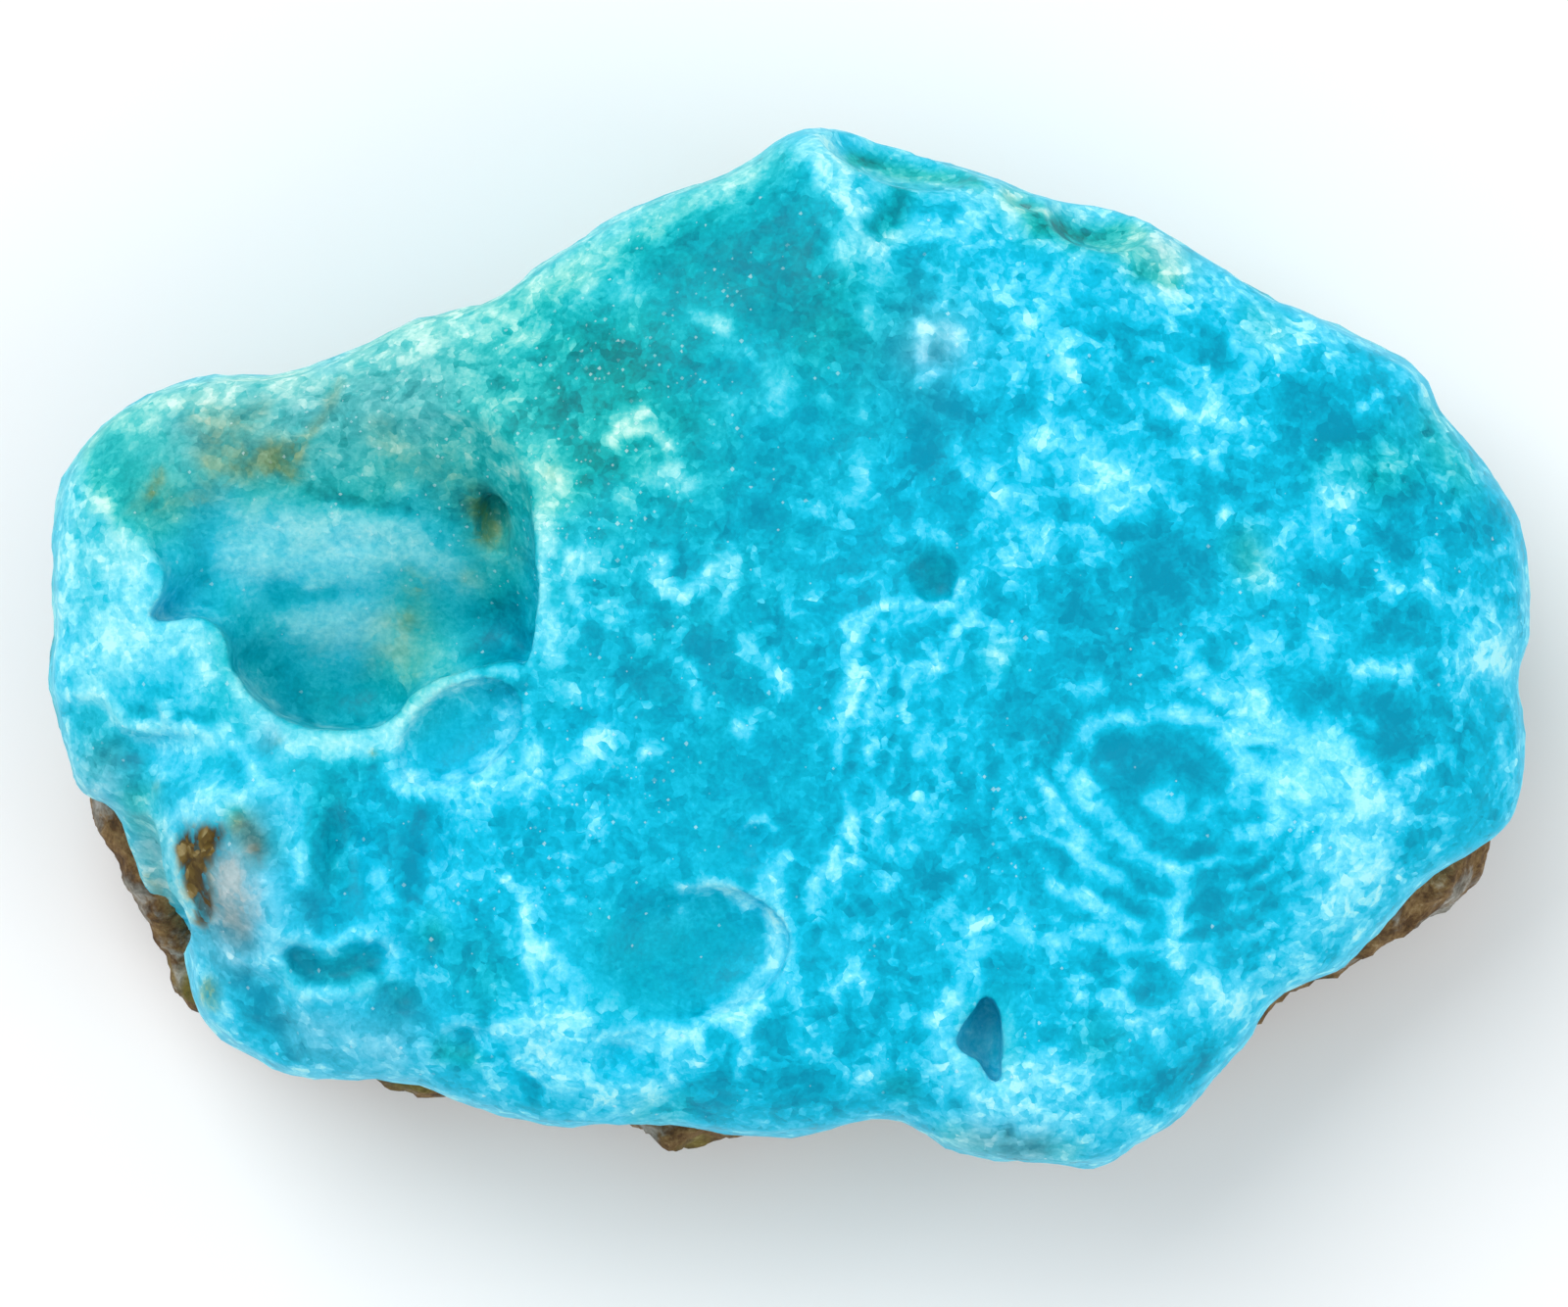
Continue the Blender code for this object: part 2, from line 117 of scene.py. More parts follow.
# The outline of the host rock, which shows past the stone at the lower left, bottom and lower right
ROCK_OUTLINE = [
    (37.4, -6.0), (38.4, -9.4), (38.1, -10.9), (37.3, -12.2), (36.5, -13.6), (34.4, -15.1),
    (32.2, -16.3), (30.2, -17.6), (27.6, -19.0), (26.0, -20.2), (22.5, -22.4), (18.0, -25.0),
    (12.0, -25.6), (5.0, -24.2), (0.5, -25.6), (-3.6, -27.1), (-7.3, -27.1), (-9.6, -26.4),
    (-11.5, -24.4), (-15.0, -23.6), (-18.7, -24.5), (-20.6, -24.8), (-22.8, -23.8), (-27.0, -21.4),
    (-30.5, -20.4), (-32.6, -19.4), (-33.8, -17.4), (-34.8, -15.6), (-35.5, -14.0), (-36.5, -12.5),
    (-37.4, -11.0), (-38.4, -9.3), (-38.6, -7.8), (-37.2, -4.5), (-36.0, -1.0), (-36.6, 3.6),
    (-33.0, 7.8), (-26.0, 7.2), (-20.0, 10.2), (-12.0, 9.0), (-6.0, 13.0), (3.0, 11.2),
    (9.0, 14.2), (17.0, 11.0), (24.0, 9.4), (31.0, 6.2), (35.6, 1.0), (36.0, -2.5),
]

# Where the rock rises past the stone: centre, radii and height
ROCK_CORNERS = [
    ((-35.0, -13.0), (4.0, 8.0), 5.0),
    ((34.0, -14.0), (6.0, 4.0), 3.6),
]

# Where the rock is worn flat and the whole stone rests
RESTING_SPOTS = [(-25.0, -9.0), (24.0, -8.0), (3.0, 4.0), (-4.0, -18.0)]
RESTING_RADII = (7.0, 5.5)

# The rim of the big hollow. Its upper side fades out on the face, and the rest is a crisp lip.
BOWL_RIM = [
    (-36.0, 7.3), (-34.6, 5.4), (-33.0, 4.0), (-33.4, 2.4), (-33.9, 1.4), (-32.3, 1.4), (-30.4, 1.2),
    (-29.7, 0.3), (-29.5, -1.2), (-28.4, -2.7), (-27.2, -3.6), (-26.2, -4.1), (-24.4, -4.5),
    (-22.4, -4.5), (-21.0, -4.0), (-20.0, -2.8), (-19.0, -2.1), (-17.0, -1.3), (-15.3, -0.9),
    (-14.6, -0.7), (-13.8, -1.0), (-13.4, 0.0), (-13.2, 1.5), (-13.2, 4.0), (-13.5, 6.4),
    (-13.8, 8.5), (-15.0, 12.5), (-20.0, 16.0), (-28.0, 15.5), (-35.0, 12.5), (-37.5, 9.5),
]
BOWL_LOWEST_POINT = (-23.0, -4.6, 13.0)
BOWL_SLOPE = 0.58
BOWL_CURVE = 0.010
BOWL_FILLET = 2.4

# The lens-shaped pit near the bottom edge. Its floor lies 2.2 higher than in the solid.
LENS_RIM = [
    (10.4, -18.4), (11.1, -19.2), (11.3, -20.5), (11.3, -22.0), (11.1, -23.2), (10.6, -22.8),
    (10.0, -21.9), (9.2, -21.5), (8.8, -20.9), (9.0, -20.2), (9.8, -19.2),
]
LENS_FLOOR = 21.2
LENS_SLOPE = 0.6
LENS_FILLET = 0.6

# The step down at the lower left corner, beside the lump, where the stone ends in a smooth ramp
CORNER_RIM = [
    (-42.0, -9.5), (-38.0, -8.8), (-35.6, -8.6), (-33.7, -9.2), (-33.4, -10.5), (-33.2, -12.2),
    (-32.8, -13.2), (-32.1, -14.2), (-31.9, -15.6), (-32.6, -16.8), (-37.0, -19.0), (-42.0, -16.0),
]
CORNER_TOP = (-33.7, -9.0, 19.0)
CORNER_SLOPE = (0.35, 1.25)
CORNER_FILLET = 0.8

# Scoops that cut into the face: centre, radii, turn about Z and lean towards the steep side, in degrees.
# The oval scoop is larger here than in the solid, and only the scene has the pinhole.
SCOOPS = {
    "oval_scoop": ((-17.3, -4.6, 25.1), (4.0, 2.4, 1.5), 36, 0),
    "saucer": ((-5.3, -16.3, 25.7), (5.6, 3.6, 2.1), 12, 10),
    "upper_dimple": ((7.5, 3.7, 26.7), (1.9, 1.6, 1.3), -50, 20),
    "lower_dimple": ((-2.3, -10.6, 26.3), (1.6, 1.5, 1.2), 40, 18),
    "olive_pit": ((-15.6, 6.8, 19.6), (0.9, 1.9, 2.0), 0, 0),
    "first_pocket": ((6.4, 28.2, 22.5), (5.6, 3.9, 4.6), -18, 0),
    "second_pocket": ((13.2, 25.6, 22.5), (2.4, 2.5, 4.0), -32, 0),
    "third_pocket": ((17.0, 24.8, 22.0), (3.8, 3.9, 4.6), -12, 0),
    "fourth_pocket": ((19.0, 19.9, 25.2), (2.4, 0.9, 1.6), -22, 0),
    "pinhole": ((11.7, -25.6, 21.0), (0.36, 0.28, 6.0), 20, 0),
}

# Soft dents and swellings of the face: centre, radii and height
SWELLINGS = [
    ((-30.2, -12.4), (3.6, 4.4), 3.0),
    ((-31.5, -8.2), (2.6, 1.4), 0.7),
    ((-26.0, -10.2), (1.1, 3.8), 0.8),
    ((-35.0, -5.6), (2.2, 1.3), -1.4),
    ((-22.1, -17.0), (1.8, 1.0), -1.1),
    ((-26.3, -17.2), (1.0, 1.2), -0.9),
    ((-20.5, -18.8), (1.4, 0.9), -0.9),
    ((-17.4, -21.4), (1.2, 0.7), -1.0),
    ((-24.1, -11.2), (1.4, 2.2), -1.1),
    ((-28.0, -9.6), (1.2, 1.3), -1.0),
    ((-19.4, -11.2), (0.8, 2.6), -1.0),
    ((-27.6, -21.2), (1.6, 1.0), -0.7),
    ((-8.9, -21.9), (1.2, 0.9), -0.7),
    ((-13.9, -22.9), (0.9, 1.6), -0.7),
    ((5.8, 22.6), (1.2, 1.6), -0.6),
    ((3.2, 22.8), (1.6, 4.0), 0.5),
    ((1.3, 26.5), (2.2, 2.2), 0.7),
    ((-3.0, -23.0), (2.4, 2.0), 0.4),
    ((16.0, -5.6), (2.4, 2.0), -0.4),
    ((38.0, 0.0), (2.0, 1.6), 0.5),
]

# Markings of the stone, and some painted light and shade in the bowl and pits, in millimetres seen from
# above: strength, width and the path that it follows.
# Paleness runs from 0, deep blue, to 1, nearly white. Strengths below 0 make it deeper.
BASE_PALENESS = 0.36
PALENESS = [
    # Broad differences between parts of the face
    (-0.13, 7, (-4, 20), (1, 19)), (-0.08, 4, (1, 22), (2, 16)), (0.06, 6, (-17, 12)),
    (0.1, 8, (12, 19), (24, 14)), (-0.04, 5, (-3, -6)), (0.08, 7, (28, -8)),
    (0.12, 5, (-28, -19), (-19, -21)), (0.34, 3.6, (-37.6, 7), (-36.6, -3)),
    (0.3, 1.6, (-37, 0.2), (-34.5, -0.8)), (0.12, 3, (-36, 4), (-35, -3)), (0.1, 2, (-31, -6), (-28, -8)),
    (-0.22, 1.2, (-35.6, 8.6), (-34.4, 7.4)), (0.07, 7, (-12, -8), (-13, -14)),
    (0.1, 5, (6, -22), (20, -20)), (-0.05, 6, (16, 1)), (-0.05, 5, (-2, 0)),
    (0.08, 3, (-20, 13.6), (-16, 14)),
    # The pale edge of the upper left
    (0.32, 0.9, (-34, 12.4), (-30, 13.6), (-26.5, 14.2)),
    (0.18, 0.8, (-26, 14.3), (-20, 15.8), (-14, 18.6), (-8, 22.2), (-2, 25.2)),
    (0.14, 1.6, (-21.5, 10.5), (-18.5, 10)),
    # The bowl: pale wisps, a broad paler cloud that is painted light lifting its shaded hollow, and a
    # deeper band under its lower wall that is painted shade
    (0.12, 5, (-27, 4), (-18, 2)), (0.06, 1.8, (-26, -0.6), (-22, -1.2)),
    (0.4, 0.7, (-25.3, 3.5), (-22.6, 4.3), (-19.8, 5.2)), (0.3, 1.1, (-24.6, 0.9), (-22.6, 0.6)),
    (0.38, 1.1, (-28.4, 6.8), (-25, 6.3), (-22, 6.6), (-20, 6)),
    (0.55, 0.8, (-29.5, 5), (-27, 4.4), (-25, 4.9), (-22.6, 5.5)), (0.22, 0.9, (-28.5, 3.2), (-29.5, 4)),
    (0.5, 1.1, (-26.4, 1.4), (-23, 1.5), (-21.6, 0.8)), (-0.3, 0.6, (-25, 8), (-22, 7.9), (-20.5, 7.3)),
    (-0.35, 0.7, (-27.5, 2.8), (-24.5, 2.7)), (-0.12, 1.1, (-31.2, 4.4), (-30.5, 2.4)),
    # Painted shade: deeper under the bowl's lower wall
    (-0.12, 1.6, (-29, -1), (-27, -2.5), (-24, -3.3), (-21, -2.5)),
    (-0.3, 1.2, (-15.5, 2), (-14.5, 1.5), (-14.5, 0), (-16, -0.5)), (0.25, 0.8, (-18.6, 4.6), (-17, 3.4)),
    # The first mark, in the olive pit, is painted light that lifts the shade of the pit
    (0.25, 0.6, (-16.2, 7.2), (-15.9, 6), (-16.1, 5.2)), (0.2, 1, (-20.5, -0.6), (-18, -1)),
    (-0.3, 0.8, (-18.5, 7.8), (-17.5, 7.3), (-16, 8)),
    # Wide pale clouds at the lower right, along the bottom and at the upper right, and painted light on the
    # lens-shaped pit's shaded floor
    (0.3, 2.2, (27.5, -6), (29.5, -9.5), (29.6, -13)), (0.2, 1.6, (23.5, -3.5), (28.5, -6)),
    (0.16, 2, (20, -18.5), (25, -17)), (0.16, 1.8, (-14, -21.5), (-6, -21.5)),
    (0.16, 1.6, (10, -23.5), (18, -24.6)), (0.14, 2.6, (8, 20), (14, 17), (19, 18)),
    # The last mark, in the lens-shaped pit, is painted light that lifts its shaded floor
    (0.12, 2.2, (12, 9), (18, 9)), (0.16, 1.6, (36.5, 0), (36, -1.5)), (0.3, 1.4, (10.4, -20.6)),
    (0.12, 2, (22, 11), (24, 14.5)), (0.12, 1.6, (29, 8.5), (29, 6)),
    (-0.04, 2.4, (29, -2.6), (32, -3.5)), (-0.12, 1.6, (18.5, -6), (21.5, -6)),
    # Upper left plane and its edge
    (0.25, 0.6, (-13.2, 18.9), (-12.2, 20)), (0.3, 0.7, (-9.9, 20.5), (-9.6, 21.8), (-8, 22.4)),
    (0.38, 0.8, (-6.6, 22.3), (-4.8, 23.6), (-2.8, 24.4), (-1.9, 25)),
    (0.3, 1, (-11.5, 18.6), (-10, 19.2), (-8.7, 18.6)),
    (0.3, 0.8, (-16.2, 16.9), (-14.4, 17), (-13.9, 16)), (0.35, 0.9, (-19.2, 16.1)),
    (0.42, 0.55, (-4.7, 17.4), (-3.3, 16.6), (-2.3, 15.6)),
    (0.35, 0.7, (-0.8, 14.6), (-0.3, 13.6), (-0.6, 12.6)), (0.25, 0.6, (-2.9, 12.8)),
    (0.25, 0.5, (2, 13.2)), (0.62, 0.38, (-9.2, 10.9), (-8.3, 11.8), (-7.6, 12.5)),
    (0.62, 0.34, (-8.6, 11.5), (-7, 11.2), (-6.1, 10.6)),
    (0.4, 0.8, (-14.3, 9.8), (-13, 9.4), (-12.2, 8.8)), (0.3, 0.65, (-12.8, 7.5), (-11.8, 7.6)),
    (0.35, 0.8, (-7.4, 8.8), (-6.2, 9.2), (-5.6, 8.6)), (0.2, 0.4, (-8.8, 8.1)),
    (-0.22, 1.5, (-9.3, 15.7)), (-0.2, 0.8, (-5.6, 21.4)), (-0.12, 1.2, (-2, 19.3)),
    (-0.1, 2.2, (0.5, 20)), (-0.2, 0.8, (-12.3, 12.8)), (-0.25, 1.3, (-10.6, 9.6), (-8.8, 10.3)),
    (-0.25, 0.9, (-5.2, 11.8)), (-0.15, 0.6, (-4.6, 16.2)), (-0.15, 0.7, (-3.3, 14.3)),
    (-0.12, 0.8, (-17.8, 14)), (0.18, 0.5, (-18, 17.3), (-16, 17.5)),
    # Ridge at the top point, the crest of the top right edge and what lies along it
    (0.7, 0.9, (1.5, 26.3), (2.2, 25.4), (2.8, 24.4), (3.4, 23.2), (3.4, 22), (3.2, 21)),
    (0.3, 0.6, (1.8, 26), (2.4, 24.8)), (0.45, 0.6, (4.4, 21.2), (5.7, 21.3)),
    (0.3, 0.5, (2.6, 20.8), (3.4, 21)), (0.3, 0.7, (4.5, 20.2), (4.6, 19), (4.5, 18)),
    (0.45, 0.4, (4.1, 17.4), (4.4, 16.8)),
    (0.42, 0.9, (4.8, 24.8), (7, 24.5), (9, 24.2), (11, 23.7), (12.2, 22.8)),
    (0.28, 0.8, (7, 22.2), (9, 21.8)), (0.2, 1, (9.8, 22.8), (10.5, 23.4)),
    (-0.48, 0.5, (5.9, 23.8), (5.4, 22.6), (4.8, 21.9)), (-0.15, 0.6, (7.6, 23.4), (8.6, 23.2)),
    (-0.22, 0.9, (7.2, 20.4), (6.6, 19), (6.5, 18)), (-0.2, 0.5, (7.6, 18.5)),
    (0.3, 0.35, (8.2, 19.3), (8.2, 18)), (0.75, 0.42, (7.2, 16.6), (7.1, 15.2)),
    (0.5, 0.45, (7.5, 14.3), (6.9, 14.1)), (0.38, 0.8, (8.6, 16.5), (9.6, 15.2), (9.2, 14)),
    (0.25, 0.6, (10.3, 16.3)), (-0.38, 1.1, (7.6, 13), (8.6, 11.8), (7, 10)),
    (0.6, 0.5, (9.6, 9.2), (10.6, 8.6), (11.2, 7.8)), (0.25, 0.6, (4.2, 12.8)),
    (0.3, 0.65, (4.2, 9.6), (4, 8.5), (3.2, 7.6)), (0.4, 0.3, (1.5, 7)),
    (0.4, 0.8, (12.8, 16.6), (13.8, 16), (14.8, 15)), (0.3, 0.35, (14.8, 14.9)), (0.42, 0.6, (17, 15.2)),
    (-0.25, 1.1, (17.5, 16.7), (18.3, 15.4)), (-0.15, 1.4, (15.5, 17.4)), (-0.2, 0.7, (11.4, 16.6)),
    (-0.2, 0.8, (9, 17.6)), (-0.25, 0.7, (12.8, 12.2)), (-0.2, 0.8, (16.8, 10.9)),
    (-0.25, 0.8, (19, 11.5), (20.3, 11.3)), (0.38, 1.2, (13.2, 11), (15, 10.2), (16.2, 9.2)),
    (0.35, 1.2, (17.5, 8.3), (19, 7.6)), (0.45, 0.65, (20, 12.4), (21.2, 12.6), (21.8, 12.2)),
    (0.3, 0.3, (19.8, 13.2)), (0.4, 0.7, (21.5, 10.6), (21.6, 9.9), (22.5, 9.8)),
    (0.25, 0.8, (12, 19.8), (13.5, 19.5)), (0.3, 1.1, (15, 20.4), (17, 19.9)),
    (-0.15, 0.8, (12.6, 20.8), (13.3, 20)),
    (-0.3, 0.55, (3.6, 25.9), (5, 25.7), (6.8, 25.1), (8.6, 24.9), (10, 24.6)),
    (-0.28, 0.5, (11.8, 23.7), (13, 23.1)),
    (-0.4, 0.6, (13.6, 22.4), (15.4, 21.9), (16.8, 21.6), (17.8, 21.9)), (0.6, 0.35, (13.9, 23.1)),
    (0.3, 0.9, (18, 20.8), (19.5, 21.2), (21, 20.4)), (0.5, 0.35, (20.1, 19.8)),
    (-0.3, 0.55, (18.6, 19.9), (20.2, 19.4)), (0.3, 0.9, (19, 18.6), (21.5, 18.6), (23.2, 18.4)),
    (0.45, 0.45, (23.2, 17.3), (23.7, 16.3)),
    # Right end
    (0.4, 0.9, (27.4, 17), (28.6, 17)), (0.45, 0.55, (25.9, 15.7), (27.3, 15.6)),
    (-0.3, 0.8, (22.3, 16.4), (22.6, 15.4)), (-0.15, 0.6, (23.2, 14.8)),
    (0.4, 0.65, (21.8, 14.2), (22.2, 13.4)), (0.25, 0.6, (24, 13.4)),
    (-0.22, 0.55, (23.2, 13), (24, 12.8)), (-0.2, 0.7, (20.5, 14)), (0.4, 0.7, (23.2, 11.5)),
    (-0.3, 0.5, (21.9, 11.3), (21.8, 10.7)), (-0.3, 1, (27.4, 13.6), (27.2, 12.2)),
    (-0.16, 1.2, (26.6, 10.4), (28, 10.2)), (-0.42, 1.1, (29, 11), (30, 11.2), (29.3, 11.9)),
    (-0.2, 0.7, (28.8, 13.5)), (0.3, 0.5, (30.3, 12.6), (31, 12.9)),
    (0.25, 0.8, (28.6, 10), (30.5, 10), (31.5, 9.6)), (0.25, 0.6, (28.3, 9), (29, 8.6)),
    (-0.38, 0.75, (30.8, 8.6), (31.6, 8.1), (32.6, 8.6)), (0.38, 1, (28.8, 7.8), (28.8, 6.6), (27.6, 6)),
    (0.12, 1.2, (34.3, 11.2), (35.2, 9.5), (35.8, 8.8)), (-0.15, 0.6, (32.4, 10.8)),
    (-0.18, 1.1, (22.5, 9), (24, 8.8), (25.5, 8.4), (26.8, 8.2)),
    (-0.3, 1.5, (19.5, 6.2), (20.5, 5), (19.5, 4)), (-0.15, 0.9, (21.5, 7), (22.5, 6.5)),
    (0.4, 0.6, (25.3, 4.7), (24.8, 3.6)), (0.3, 0.5, (25.3, 6.8)), (0.5, 0.3, (22.9, 6.9)),
    (-0.32, 0.9, (31.5, 5.2), (32.2, 5.6)), (-0.2, 0.5, (32.6, 6.6)),
    (-0.22, 0.7, (30.3, 4.6), (29.8, 3.8)), (-0.32, 0.8, (28.5, 3.4)),
    (0.45, 0.45, (30.9, 4.2), (31.7, 3)), (0.3, 0.9, (33.5, 3.2)), (0.2, 0.9, (33.8, 6)),
    (0.5, 0.35, (36.6, 4.8)), (-0.35, 0.4, (35.3, 3.3)), (-0.3, 0.25, (36.4, 4.4)),
    (-0.22, 1.2, (36.8, 6.8)), (0.4, 0.4, (38, 5.3)), (0.4, 0.45, (36.1, 2.4), (37.2, 2.1)),
    (0.62, 0.75, (36.8, 0.8), (38, 0.7), (37.6, 0)), (0.55, 0.8, (36, -0.8), (37.8, -1)),
    (0.45, 0.6, (35.3, -2.2)), (-0.28, 0.7, (32, 1.8), (31.3, 0.8)),
    (0.3, 0.25, (27.4, 2.5), (26.8, 3.2)), (-0.25, 0.5, (36.7, -2.4), (37.2, -2.8)),
    (-0.25, 0.6, (34.2, -1), (34.2, -1.8)), (-0.3, 0.6, (35, -3.6), (36.3, -5)),
    (0.4, 0.4, (37.6, -4.8), (38, -6)), (0.1, 1.5, (35.5, -8.5)), (-0.2, 0.7, (33, -10.5)),
    (0.25, 0.4, (33.9, -10.6)), (-0.15, 0.8, (35.2, -6.5)),
    # Swirls of the lower right
    (0.55, 0.42, (16, -3.95), (18, -3.8), (20, -3.6), (21.6, -3.85)),
    (0.25, 0.3, (20.6, -3.7), (21.7, -3.9)),
    (0.45, 0.55, (15.4, -4.4), (14.7, -5.6), (15.1, -6.8), (15.6, -7.8), (16.8, -8.5), (17.4, -9.4),
     (18.2, -10.3), (19.4, -11.2)), (0.2, 0.7, (15.6, -7.2), (15.8, -8)),
    (-0.48, 0.85, (17.3, -5.5), (17.8, -6.6)), (-0.3, 1, (19, -5.6), (21.2, -5.4)),
    (-0.2, 0.8, (20.5, -6.6), (22, -6.5)), (-0.25, 0.7, (18, -8)),
    (0.5, 0.55, (19, -7.8), (20.3, -8.2), (20.2, -8.8)), (0.42, 0.42, (21.7, -8.6), (23.2, -8.2)),
    (-0.25, 0.6, (19.5, -9.7), (22, -9.5), (24, -9)), (-0.2, 0.7, (19.5, -10.6), (22, -10.8)),
    (0.6, 0.5, (23.6, -10), (24.8, -9.8), (25.9, -9.3)),
    (0.42, 0.8, (22.6, -2.4), (24.5, -3), (25.6, -4)), (0.62, 0.5, (23, -4.6), (23.3, -5.8)),
    (0.6, 0.55, (24, -6.3), (25.5, -6.8), (27, -6.5)),
    (0.62, 0.75, (24.6, -4.5), (27, -5.1), (28.8, -5.3), (29.6, -6.3)),
    (-0.6, 0.26, (24.2, -5.3), (25.4, -5.4), (26.6, -5.8)), (0.5, 0.3, (25.6, -7.2), (25.7, -8.1)),
    (0.6, 0.9, (27.5, -7.2), (29.5, -7.2), (30.4, -8)), (0.6, 0.6, (30.8, -8.1), (31.9, -8.6)),
    (0.72, 1.1, (29.2, -9.5), (30.1, -10.8), (30.3, -12)), (0.4, 0.9, (29.2, -12.5), (28.9, -14)),
    (-0.34, 0.8, (27, -2.9), (29, -2.5), (31, -2.8), (32.4, -3.2)),
    (-0.28, 0.9, (29.8, -4), (32.3, -4.4)), (-0.3, 0.9, (31.4, -6.2), (31.5, -5.3)),
    (-0.2, 0.5, (30.3, -5.2)), (0.45, 0.38, (30.2, -3.8), (30.8, -4.1)),
    (0.58, 0.45, (30.1, -1.2), (31.5, -1.3), (32.4, -1.3)), (0.6, 0.45, (32.1, -6.6), (33.6, -6.3)),
    (0.3, 0.5, (21, 0.2), (22, 0.8), (22.9, 1.2)), (0.35, 0.35, (20.9, -0.4), (21.4, -1.7)),
    (0.25, 0.9, (24.5, 0.3), (25.5, -0.2), (24, -0.9)), (0.28, 0.7, (28.3, 0.8), (28.3, -0.5)),
    (-0.25, 0.6, (22.5, -0.3)), (-0.4, 0.2, (26.3, 0)), (-0.25, 0.4, (25.8, -1.4)),
    (-0.28, 0.7, (13.5, -4.3), (14, -5.4)), (-0.15, 0.9, (11.5, -3.2)),
    (-0.15, 0.7, (16.3, -1), (17.5, -1.2)),
    (0.42, 0.5, (12.7, -6.3), (13, -7.2), (13.7, -8.2), (14.6, -8.8), (15.2, -10)),
    (0.2, 0.5, (11.8, -7.2)), (0.38, 0.6, (15, -10.5), (16.5, -11.8), (17.2, -12)),
    (0.25, 0.5, (11.8, -9.7)),
    (0.65, 0.42, (20.3, -11.6), (20.8, -12.8), (20.5, -14), (20.3, -15.5), (20.6, -16.4)),
    (0.35, 0.35, (21, -11.9), (22.3, -11.4), (22.8, -10.6)),
    (0.5, 0.42, (13.9, -12.6), (15, -13), (16, -13.8), (16.6, -14.2)),
    (0.3, 0.5, (15.5, -15.2), (17, -15.3), (17.6, -14.5)), (0.3, 0.45, (17.3, -16.3)),
    (0.62, 0.33, (17.9, -17.4), (17.5, -18), (17.7, -18.9)),
    (0.42, 0.38, (16.6, -18.6), (15.4, -18.3), (15.2, -17.6)), (0.3, 0.4, (18.3, -19.6), (19, -20)),
    (-0.32, 0.85, (18.5, -17.5), (19.5, -18)), (-0.32, 1.1, (22, -13.5), (22.5, -14.5)),
    (-0.15, 1.5, (24.5, -13), (26, -12.2)), (-0.22, 0.8, (18.5, -14), (18.6, -12.5)),
    (-0.12, 1, (16, -20), (16.6, -21)), (0.35, 0.9, (21.5, -17.4), (22.8, -17.8), (21, -18.6)),
    (0.25, 1, (24, -18.2), (23, -19.5)), (-0.25, 0.5, (23.4, -16.7)), (-0.2, 0.5, (24.6, -16.8)),
    (0.25, 0.3, (25.3, -16.6)), (0.3, 1, (27.5, -14.8), (26.6, -16.6)),
    (-0.45, 0.75, (19, -23.6), (20.5, -22.9), (21.8, -22)), (-0.4, 0.45, (18.8, -24.2)),
    # Round the lens-shaped pit and the bottom right
    (0.62, 0.6, (10, -16.2), (9.6, -17.4), (8.8, -18.2), (8, -19.5), (8.1, -21)),
    (0.6, 0.6, (8.2, -21.8), (9.4, -22.8), (10.4, -23.8)),
    (0.45, 0.6, (11.9, -22.7), (12.6, -22.2), (13.8, -21.9)), (0.4, 0.5, (11.6, -23.9)),
    (-0.28, 0.45, (11, -16.8), (11.4, -17.8)),
    (0.35, 1.5, (9.5, -24.8), (13, -24.2), (16, -24.8), (18, -25.2)),
    (0.35, 0.5, (16.8, -24.9), (19, -25.4)), (-0.25, 0.8, (12.8, -20.5), (13.8, -20.2)),
    (-0.2, 0.4, (16.5, -23.7)), (-0.28, 0.6, (5.5, -23.2), (6.6, -23)),
    (-0.35, 0.33, (8.8, -24.3), (9.1, -24.8)), (-0.25, 0.6, (9, -26.1), (12, -26.7), (14, -26.6)),
    (-0.9, 0.25, (11.7, -25.6)), (0.32, 0.42, (9.2, -15), (10.2, -14.4), (11.3, -14.3), (12.3, -14.8)),
    (0.25, 0.8, (12.5, -15.3), (14, -15.3)), (0.3, 0.4, (8.3, -13.6), (9, -13.2), (9.4, -12.3)),
    (-0.28, 0.5, (7, -12.6), (8, -12.5)), (0.35, 0.4, (5.3, -12.3)), (0.2, 0.6, (6, -10.7)),
    (-0.18, 0.8, (10, -9.5), (10.5, -10.5)),
    # Centre
    (0.45, 0.28, (-13, 6.5), (-12.9, 4.5), (-12.8, 2.5), (-13, 0.8), (-13.6, -0.9)),
    (0.6, 0.5, (-12.3, 1.6), (-12.3, 0.2), (-12.3, -0.6)),
    (0.42, 0.42, (-11.3, 4.6), (-11.2, 3), (-10.8, 1.9)), (0.3, 0.4, (-12.5, 6.2), (-12.6, 5)),
    (0.2, 0.6, (-9.8, 5.2), (-10.6, 4.2)), (-0.15, 0.7, (-9.5, 2.8), (-8, 2.9)),
    (0.42, 0.5, (-7, 4.8), (-6.5, 4.4), (-7, 3.8)),
    (0.45, 0.5, (-6.3, 3), (-5.5, 2.8), (-4.7, 3.2), (-4, 3.9), (-3.2, 4.6), (-3, 5)),
    (-0.18, 0.6, (-5.5, 4.3)), (-0.18, 0.4, (-7.2, 5.2)), (-0.18, 0.8, (-4, 6)),
    (-0.22, 0.9, (-1.4, 6.5)), (0.3, 0.5, (-8.5, 1.8), (-7.6, 1.6), (-7.5, 0.8)),
    (0.4, 0.35, (-3.2, 2.6), (-3.3, 2)), (-0.2, 1, (-6.5, 1.4), (-5, 1.2)),
    (-0.25, 0.9, (-8.3, -1.2), (-7, -1.4)),
    (0.4, 0.4, (-6.3, -0.4), (-5.3, -1.2), (-4.7, -2.2), (-4.6, -2.8)),
    (0.38, 0.55, (-2.4, 0.3), (-1.6, -0.5), (-0.8, -1.2), (-0.2, -2.2)),
    (0.38, 0.45, (-9.4, -2.6), (-9.6, -3.8), (-10.2, -5)),
